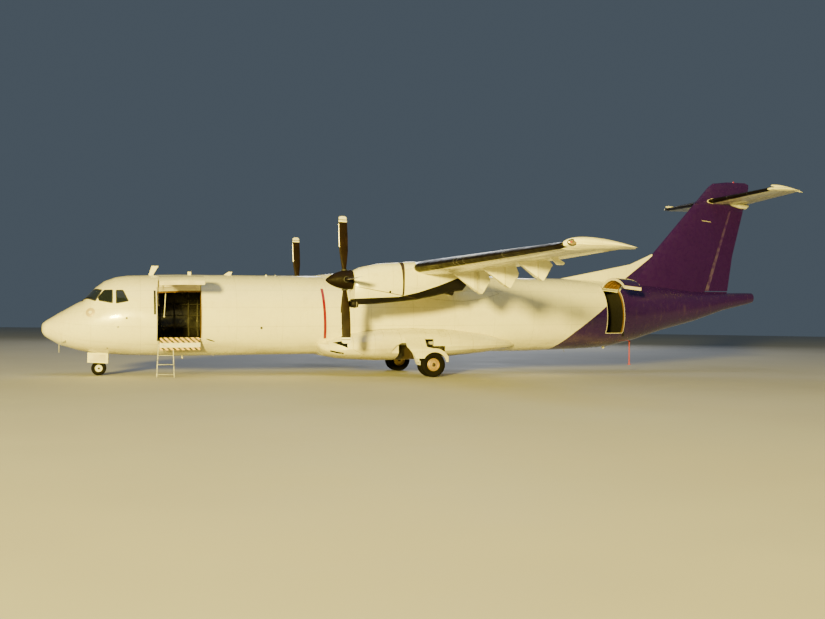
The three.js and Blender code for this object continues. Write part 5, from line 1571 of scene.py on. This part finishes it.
def tyre_profile(radius, width, rim, grooves, depth=0.007):
    """Rows of radius and place across, from one bead over the tread to the other and back inside."""
    half = width / 2
    wall = radius - rim

    def crown(across):
        return radius - 0.10 * radius * (abs(across) / half) ** 3.2
    rows = [(rim + 0.002, -half * 0.70), (rim + 0.010, -half * 0.86), (rim + 0.22 * wall, -half * 0.97),
            (rim + 0.48 * wall, -half), (rim + 0.66 * wall, -half * 0.98),
            (crown(half * 0.93), -half * 0.93)]
    marks = [-half * 0.86, -half * 0.76]
    for place in grooves:
        marks += [place - 0.0045, place - 0.003, place + 0.003, place + 0.0045]
    marks += [half * 0.76, half * 0.86]
    for across in marks:
        sunk = any(abs(across - place) < 0.004 for place in grooves)
        rows.append((crown(across) - (depth if sunk else 0), across))
    rows += [(r, -w) for r, w in reversed(rows[:6])]
    return rows + [rows[0]]


def hub_face(body, name, centre, out, rim, dish, finish, bolts, cap=0.34):
    """The dressed outer face of a wheel: a rolled rim edge, a dished web and a cap with bolts."""
    rows = [(rim + 0.006, -0.006), (rim + 0.008, 0.010), (rim - 0.004, 0.014), (rim - 0.016, 0.004),
            (rim * 0.86, -dish), (rim * 0.62, -dish * 0.72), (rim * 0.58, -dish * 0.35),
            (rim * cap, -dish * 0.30), (rim * cap * 0.92, 0.012), (rim * cap * 0.55, 0.024), (0.0, 0.028)]
    piece(name, *spun(rows + [(0.0, -dish - 0.004), (rim * 0.84, -dish - 0.006), (rim - 0.020, -0.006),
                              rows[0]], centre, out, 64), finish, body=body, smooth=40)
    cover = [(0.0, 0.034), (rim * 0.24, 0.031), (rim * 0.30, 0.022), (rim * 0.30, 0.0), (0.0, 0.0)]
    piece(f"{name}_cover", *spun(cover, centre, out, 40), BROWN_AND_SHADOW, body=body, smooth=40)
    ring = {"Count": bolts, "Circle radius": rim * 0.47, "Bolt radius": rim * 0.035, "Bolt height": 0.016,
            "Sides": 6}
    grown(f"{name}_bolts", BOLTS, ring, STEEL, facing(Vector(centre) - Vector(out) * dish * 0.4, out), body)


def turned(name, rows, centre, finish, body, sides=64):
    """A piece of revolution about the axle, its rows given across the aircraft."""
    return piece(name, *spun(rows, centre, (0, 1, 0), sides, (1, 0, 0)), finish, body=body, smooth=40)


for label, side in SIDES:
    body = f"main_wheel_set_{label}"
    for which, out in (("outer", 1), ("inner", -1)):
        centre = MAIN_AXLE + Vector((0, side * (LEG_OUT + out * MAIN_SPACING), 0))
        rows = tyre_profile(MAIN_TYRE, MAIN_TYRE_WIDTH, MAIN_RIM, (-0.066, -0.022, 0.022, 0.066))
        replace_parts(turned(f"{which}_tyre_grooved_{label}", rows, centre, TYRE_RUBBER, body, 72),
                    f"{which}_tyre_{label}")
        way = Vector((0, side * out, 0))
        hub_face(body, f"{which}_hub_face_{label}", centre + way * 0.088, way, 0.207, 0.045, RIM, 10)
    for which, y in (("outer", 2.125), ("inner", 1.975)):
        rows = [(0.075, -0.022), (0.150, -0.022), (0.156, -0.016), (0.156, 0.016), (0.150, 0.022),
                (0.075, 0.022), (0.075, -0.022)]
        turned(f"brake_pack_{which}_{label}", rows, MAIN_AXLE + Vector((0, side * y, 0)), HOT, body, 48)
    nose_centre = NOSE_AXLE + Vector((0, side * NOSE_SPACING, 0))
    rows = tyre_profile(NOSE_TYRE, NOSE_TYRE_WIDTH, NOSE_RIM_RADIUS, (-0.030, 0.0, 0.030), 0.005)
    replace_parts(turned(f"nose_tyre_grooved_{label}", rows, nose_centre, TYRE_RUBBER, "nose_wheel_set"),
                f"nose_tyre_{label}")
    out = Vector((0, side, 0))
    hub_face("nose_wheel_set", f"nose_hub_face_{label}", nose_centre + out * 0.064, out, 0.108, 0.030,
             NOSE_RIM, 8, 0.40)
    rows = [(0.0, 0.0), (0.034, 0.0), (0.034, 0.006), (0.028, 0.010), (0.0, 0.010), (0.0, 0.0)]
    piece(f"nose_hub_plug_{label}", *spun(rows, nose_centre + out * 0.088, out, 24), GASKET,
          body="nose_wheel_set", smooth=40)
print("wheel pieces:", sum("tyre" in name or "hub" in name or "brake" in name for name in made))

# %% [markdown]
# Pipes run down the legs to the brakes and the shock struts show their bright pistons. The nose doors
# carry blank panels with a hinge rod along the top, and a taxi lamp stands ahead of the nose leg.

# %% Legs, pipes and doors
def hose(name, path, radius, finish, body="airframe", sides=8):
    piece(name, *tube(path, radius, sides), finish, body=body, smooth=60)


for label, side in SIDES:
    y = side * LEG_OUT
    hose(f"main_shock_piston_{label}", [ground(12.462, y, 0.515), ground(12.388, y, 0.700)], 0.041, CHROME,
         sides=24)
    rows = [(0.046, -0.012), (0.060, -0.010), (0.060, 0.010), (0.046, 0.012), (0.046, -0.012)]
    piece(f"main_shock_collar_{label}", *spun(rows, ground(12.385, y, 0.702), (-0.40, 0, 1), 32), METAL,
          smooth=40)
    hose(f"brake_pipe_{label}", [ground(12.12, side * 1.62, 1.05), ground(12.10, side * 1.83, 0.88),
                                 ground(12.12, side * 1.97, 0.72), ground(12.16, side * 2.012, 0.62),
                                 ground(12.26, side * 2.016, 0.565), ground(12.37, side * 2.02, 0.545)],
         0.009, GASKET)
    hose(f"brake_pipe_upper_{label}", [ground(12.05, side * 1.60, 1.08), ground(12.03, side * 1.84, 0.88),
                                       ground(12.05, side * 1.97, 0.70), ground(12.09, side * 2.012, 0.58),
                                       ground(12.16, side * 2.018, 0.535)], 0.006, METAL)
    rows = [(0.0, -0.062), (0.022, -0.060), (0.026, -0.052), (0.026, 0.052), (0.022, 0.060), (0.0, 0.062)]
    piece(f"arm_pivot_cap_{label}", *spun(rows, ground(12.13, y, 0.485), (0, 1, 0), 32), METAL, smooth=40)
    piece(f"shock_foot_pin_{label}", *spun(rows, ground(12.46, y, 0.500), (0, 1, 0), 32), METAL, smooth=40)
    door_y = side * 0.3196
    low, high = sorted((door_y, door_y + side * 0.003))
    panel = box(ground(1.50, low, 0.455), ground(1.985, high, 0.690), 0.001)
    piece(f"nose_door_panel_{label}", *panel, CREAM)
    low, high = sorted((side * 0.300, side * 0.292))
    for k, x in enumerate((1.52, 1.74, 1.96)):
        rib = box(ground(x - 0.012, low, 0.43), ground(x + 0.012, high, 0.735), 0.002)
        piece(f"nose_door_rib_{label}_{k}", *rib, STEEL)
    rod = [ground(1.43, side * 0.311, 0.750), ground(2.055, side * 0.311, 0.747)]
    hose(f"nose_door_hinge_rod_{label}", rod, 0.008, METAL, sides=10)
    ring = [(side * 2.4225, 0.54), (side * 2.4225, 0.94), (side * 2.4245, 0.94), (side * 2.4245, 0.54)]
    piece(f"gear_door_stiffener_{label}", *loft([[ground(x, py, pz) for py, pz in ring]
                                                 for x in (12.02, 12.05)]), COWL_PAINT)
hose("nose_piston_sleeve", [ground(1.775, 0, 0.330), ground(1.775, 0, 0.596)], 0.0445, CHROME,
     "nose_steering", 32)
rows = [(0.060, -0.030), (0.074, -0.026), (0.074, 0.026), (0.060, 0.030), (0.060, -0.030)]
piece("nose_steering_collar", *spun(rows, ground(1.775, 0, 0.640), (0, 0, 1), 40), METAL, smooth=40)
hose("nose_taxi_lamp_stalk", [ground(1.715, 0, 0.72), ground(1.64, 0, 0.735)], 0.014, STEEL)
rows = [(0.0, 0.050), (0.030, 0.046), (0.056, 0.020), (0.064, 0.0), (0.070, -0.006), (0.064, -0.010),
        (0.050, -0.004), (0.0, -0.004)]
piece("nose_taxi_lamp", *spun(rows, ground(1.615, 0, 0.735), (1, 0, 0), 36), METAL, smooth=40)
piece("nose_taxi_lens", *spun([(0.0, -0.012), (0.040, -0.010), (0.056, -0.004), (0.0, -0.002)],
                              ground(1.611, 0, 0.735), (1, 0, 0), 36), LENS, smooth=60)
hose("nose_steering_pipe", [ground(1.83, 0.035, 1.00), ground(1.86, 0.05, 0.80), ground(1.845, 0.04, 0.66)],
     0.008, GASKET)
print("leg pieces ready:", len(made), "pieces in all")

# %% [markdown]
# Panel joints divide the belly fairing, and its nose has a dark air inlet on each side with a slit
# below. Small fittings are scattered over the hull: aerials, lamps, probes, drain masts and the static
# wicks that trail from the wings and the tail.

# %% Belly fairing panels and inlets
FAIRING = [  # x, top, bottom, half width
    (8.800, -0.900, -1.010, 1.180), (8.900, -0.850, -1.200, 1.400), (9.060, -0.800, -1.343, 1.560),
    (9.530, -0.640, -1.440, 1.790), (9.810, -0.515, -1.470, 1.880), (10.920, -0.362, -1.541, 2.010),
    (12.400, -0.340, -1.530, 2.040), (13.600, -0.400, -1.440, 1.960), (14.830, -0.560, -1.330, 1.700),
    (15.780, -0.800, -1.200, 1.350), (16.050, -0.950, -1.120, 1.080)]


def fairing_point(side, x, z, proud):
    """The fairing's side at a place along the hull and a height."""
    top, bottom, half = read(FAIRING, x)
    share = max(-0.999, min(0.999, (z - (top + bottom) / 2) / ((top - bottom) / 2)))
    c = abs(share) ** (1 / 0.75)
    return hull_point(x, side * (half * math.sqrt(1 - c * c) ** 0.62 + proud), z)


def fairing_strip(side, line, width=0.007, proud=0.0025):
    """A thin joint along a line of places, in short steps so that it hugs the skin."""
    places = []
    for (x0, z0), (x1, z1) in zip(line, line[1:]):
        cuts = max(2, round(math.hypot(x1 - x0, z1 - z0) / 0.06))
        places += stepped([(x0, z0), (x1, z1)], cuts)
    places.append(line[-1])
    rings = []
    for k, (x, z) in enumerate(places):
        (xa, za), (xb, zb) = places[max(0, k - 1)], places[min(len(places) - 1, k + 1)]
        length = math.hypot(xb - xa, zb - za)
        dx, dz = -(zb - za) / length * width / 2, (xb - xa) / length * width / 2
        rings.append([fairing_point(side, x + dx * s, z + dz * s, lift)
                      for s, lift in ((-1, -0.003), (-1, proud), (1, proud), (1, -0.003))])
    return loft(rings)


JOINT = worn("panel_joint_sealant", (0.30, 0.26, 0.18), 0.6, second=(0.20, 0.17, 0.12), scale=9)
JOINTS = [
    [(9.90, -0.560), (10.95, -0.440), (12.00, -0.415), (13.30, -0.460)], [(10.95, -0.44), (10.94, -0.66)],
    [(11.51, -0.43), (11.54, -0.86)], [(12.46, -0.42), (12.44, -0.66)], [(13.30, -0.46), (13.34, -0.98)],
    [(12.96, -0.50), (13.18, -0.51), (13.18, -0.69), (12.96, -0.68), (12.96, -0.50)],
    [(9.90, -0.56), (9.88, -1.10), (10.30, -1.30)], [(14.20, -0.56), (14.22, -1.20)]]
for label, side in SIDES:
    joints = merge(*[fairing_strip(side, line) for line in JOINTS])
    piece(f"fairing_joints_{label}", *joints, JOINT, smooth=50)
    rings = []
    for k in range(9):
        x = 9.27 + 0.055 * k
        reach = 0.006 + 0.022 * k
        heights = [-0.872 + reach * (0.42 - 1.42 * i / 6) for i in range(7)]
        rings.append([fairing_point(side, x, z, 0.005) for z in heights]
                     + [fairing_point(side, x, z, -0.020) for z in reversed(heights)])
    piece(f"fairing_inlet_{label}", *loft(rings), DARK, smooth=50)
    lip = [(9.708, -0.800), (9.716, -1.046)]
    piece(f"fairing_inlet_lip_{label}", *fairing_strip(side, lip, 0.022, 0.012), COWL_PAINT, smooth=50)
    slit = fairing_strip(side, [(9.16, -1.15), (9.38, -1.205), (9.60, -1.245)], 0.050)
    piece(f"fairing_slit_{label}", *slit, DARK, smooth=50)
print("fairing pieces ready")

# %% Small fittings on the hull
def on_hull(x, z, side=-1, proud=0.0):
    return hull_point(x, side * (hull_side(x, z) + proud), z)


def outward(x, z, side=-1):
    """The way the hull's side faces at a place."""
    e = 0.02
    a = on_hull(x + e, z, side) - on_hull(x - e, z, side)
    b = on_hull(x, z + e, side) - on_hull(x, z - e, side)
    way = a.cross(b).normalized()
    return way if way.y * side > 0 else -way


def plate_on_hull(name, x, z, radius, finish, side, thick=0.003):
    rows = [(0.0, thick), (radius - 0.004, thick), (radius, thick * 0.4), (radius, -0.008), (0.0, -0.008)]
    piece(name, *spun(rows, on_hull(x, z, side), outward(x, z, side), 32), finish, smooth=40)


GOLD = worn("weathered_gold_plate", (0.62, 0.50, 0.26), 0.4, metal=0.3, second=(0.50, 0.40, 0.22), scale=12)
for label, side in SIDES:
    plate_on_hull(f"nose_round_plate_{label}", 1.509, 0.165, 0.150, GOLD, side)
    plate_on_hull(f"nose_round_plate_hub_{label}", 1.509, 0.165, 0.055, COWL_PAINT, side, 0.006)
    plate_on_hull(f"static_port_{label}", 2.618, -0.023, 0.030, DARK, side, 0.002)
    plate_on_hull(f"static_port_low_{label}", 2.023, -0.993, 0.026, DARK, side, 0.002)
    plate_on_hull(f"side_vent_{label}", 6.885, -0.368, 0.038, DARK, side, 0.002)
    at, way = on_hull(0.755, -0.734, side), outward(0.755, -0.734, side)
    path = [at - way * 0.01, at + way * 0.055, at + way * 0.075 + Vector((-0.05, 0, 0)),
            at + way * 0.078 + Vector((-0.17, 0, 0))]
    hose(f"pitot_probe_{label}", path, [0.014, 0.013, 0.011, 0.007], METAL, sides=14)
    at, way = on_hull(2.35, -0.30, side), outward(2.35, -0.30, side)
    piece(f"incidence_vane_{label}", *spun([(0.0, 0.075), (0.008, 0.070), (0.012, 0.010), (0.030, 0.004),
                                            (0.032, -0.004), (0.0, -0.004)], at, way, 24), METAL, smooth=40)
LAMP_Y = -0.30
rows = [(0.0, 0.050), (0.020, 0.046), (0.034, 0.026), (0.040, 0.0), (0.050, -0.010), (0.0, -0.02)]
for k, x in enumerate((7.204, 7.521)):
    foot = hull_point(x, LAMP_Y, math.sqrt(HULL_RADIUS ** 2 - LAMP_Y ** 2))
    piece(f"crown_lamp_{k}", *spun(rows, foot, (0, -0.2, 1), 28), LENS if k else COWL_PAINT, smooth=60)
dome = [(0.0, 0.085), (0.030, 0.080), (0.055, 0.060), (0.070, 0.028), (0.074, 0.0), (0.090, -0.006),
        (0.090, -0.02), (0.0, -0.02)]
piece("crown_beacon", *spun(dome, hull_point(14.9, 0, HULL_RADIUS), (0, 0, 1), 36), RED_LENS, smooth=60)


def blade_aerial(name, x, z, height, chord, lean, thick=0.009, down=False):
    """A swept blade standing on the crown or hanging under the belly, rounded at its end."""
    rings = []
    sign = -1 if down else 1
    for t, share in ((-0.08, 1.0), (0.0, 1.0), (0.5, 0.86), (0.85, 0.70), (0.96, 0.55), (1.0, 0.30)):
        middle, half = x + lean * t, chord * share / 2
        rings.append([hull_point(middle + half * math.cos(a), thick * share * math.sin(a),
                                 z + sign * height * t) for a in turns(20)])
    piece(name, *loft(rings), COWL_PAINT, smooth=60)


blade_aerial("belly_aerial_front", 4.40, -1.290, 0.10, 0.06, 0.02, down=True)
blade_aerial("tail_belly_mast", 20.27, read(HULL, 20.27)[1] + 0.01, 0.085, 0.15, 0.03, 0.012, True)
blade_aerial("crown_aerial_aft", 16.6, 1.430, 0.19, 0.18, 0.10)
blade_aerial("nose_drain_mast", 0.52, -0.870, 0.27, 0.016, 0.0, 0.005, True)
for k, (x, y) in enumerate(((5.35, -0.55), (8.1, 0.4), (18.4, -0.35))):
    low = -math.sqrt(max(0.0, 1 - (y / HULL_RADIUS) ** 2)) * 1.3
    hose(f"belly_drain_{k}", [hull_point(x, y, low + 0.02), hull_point(x + 0.02, y, low - 0.05),
                              hull_point(x + 0.06, y, low - 0.09)], 0.010, METAL, sides=12)
places = [(5.10 + 0.028 * k, -0.712 - 0.0095 * k) for k in range(11)]
slot = [on_hull(x, z) + outward(x, z) * 0.001 for x, z in places]
radii = [0.004, 0.012, 0.016, 0.018, 0.018, 0.018, 0.018, 0.016, 0.014, 0.010, 0.004]
hose("sill_vent_slot", slot, radii, DARK)
line = [(12.806, 0.627), (13.422, 0.554), (14.077, 0.527), (14.826, 0.633), (15.459, 0.81), (15.30, 0.93)]
for label, side in SIDES:
    path = [on_hull(x, z, side, 0.001) for x, z in stepped(line, 8)]
    hose(f"wing_root_joint_{label}", path, 0.0045, JOINT, sides=6)
print("hull fittings ready")

# %% Static wicks
WICK_TRAIL = hull_point(0.13, 0, 0) - hull_point(0, 0, 0)


def wick(start):
    return tube([start, start + WICK_TRAIL], [0.0025, 0.0012], 6)


for label, side in SIDES:
    for name, table, body, spans in (
            ("wing", WING, f"aileron_{label}", (10.3, 11.0, 11.7, 12.4, 13.0)),
            ("tailplane", TAILPLANE, f"elevator_{label}", (0.9, 1.7, 2.5, 3.2))):
        shapes = [wick(foil_point(table, side, span, 0.985, 0.0)) for span in spans]
        piece(f"{name}_wicks_{label}", *merge(*shapes), GASKET, body=body, smooth=60)
print("wicks ready:", len(made), "pieces in all")

# %% [markdown]
# Through the cockpit's side panes the backs of the two seats and the dark instrument panel show. The
# seats get real cushions: closed crowned pads, pulled in along their seams, on the plain solid seats.

# %% Cockpit cushions
def cushion(name, centre, size, lean=0.0):
    """A stuffed pad: fullest in its middle, pulled in at its edges and along two sewn channels."""
    length, width, depth = size
    crown, steps = 0.35, 14
    points, index = [], {}
    for face in (1, -1):
        for i in range(steps + 1):
            for j in range(steps + 1):
                u, v = 2 * i / steps - 1, 2 * j / steps - 1
                edge = (1 - abs(u) ** 3.5) * (1 - abs(v) ** 3.5)
                channel = 1 - 0.22 * math.exp(-((abs(u) - 0.42) / 0.07) ** 2)
                rise = depth / 2 * (0.28 + 0.72 * edge ** crown * channel)
                pull = 1 - 0.05 * (1 - abs(v)) * abs(u) ** 4
                index[face, i, j] = len(points)
                across = width / 2 * v * (1 - 0.05 * (1 - abs(u)))
                points.append(Vector((length / 2 * u * pull, across, face * rise)))
    faces = []
    for face in (1, -1):
        for i in range(steps):
            for j in range(steps):
                corners = (i, j), (i + 1, j), (i + 1, j + 1), (i, j + 1)
                faces.append(tuple(index[face, a, b] for a, b in corners))
    rim = ([(i, 0) for i in range(steps)] + [(steps, j) for j in range(steps)]
           + [(i, steps) for i in range(steps, 0, -1)] + [(0, j) for j in range(steps, 0, -1)])
    for (a, b), (c, d) in zip(rim, rim[1:] + rim[:1]):
        faces.append((index[1, a, b], index[1, c, d], index[-1, c, d], index[-1, a, b]))
    turn = Matrix.Rotation(lean, 3, "Y")
    shape = [hull_point(*(Vector(centre) + turn @ p)) for p in points], faces
    thing = piece(name, *shape, SEAT, smooth=70)


for label, y in (("left", -0.48), ("right", 0.48)):
    cushion(f"seat_cushion_{label}", (2.58, y, -0.070), (0.46, 0.44, 0.085))
    cushion(f"seat_back_cushion_{label}", (2.735, y, 0.20), (0.58, 0.42, 0.080), math.radians(80))
    piece(f"control_column_{label}", *tube([hull_point(2.02, y, -0.585), hull_point(2.06, y, -0.10),
                                           hull_point(2.16, y, 0.13)], 0.022, 16), PANEL, smooth=60)
    horns = [hull_point(2.16, y - 0.15, 0.24), hull_point(2.165, y - 0.12, 0.15), hull_point(2.165, y, 0.13),
             hull_point(2.165, y + 0.12, 0.15), hull_point(2.16, y + 0.15, 0.24)]
    piece(f"control_wheel_{label}", *tube(horns, 0.014, 14), GASKET, smooth=60)
for k in range(5):
    y = -0.56 + 0.28 * k
    piece(f"panel_display_{k}", *box(hull_point(1.991, y - 0.085, 0.10), hull_point(1.996, y + 0.085, 0.29),
                                     0.002), DARK)
piece("centre_pedestal", *box(hull_point(2.02, -0.16, -0.595), hull_point(2.52, 0.16, -0.02), 0.02), PANEL)
print("cockpit pieces ready:", len(made), "pieces in all")
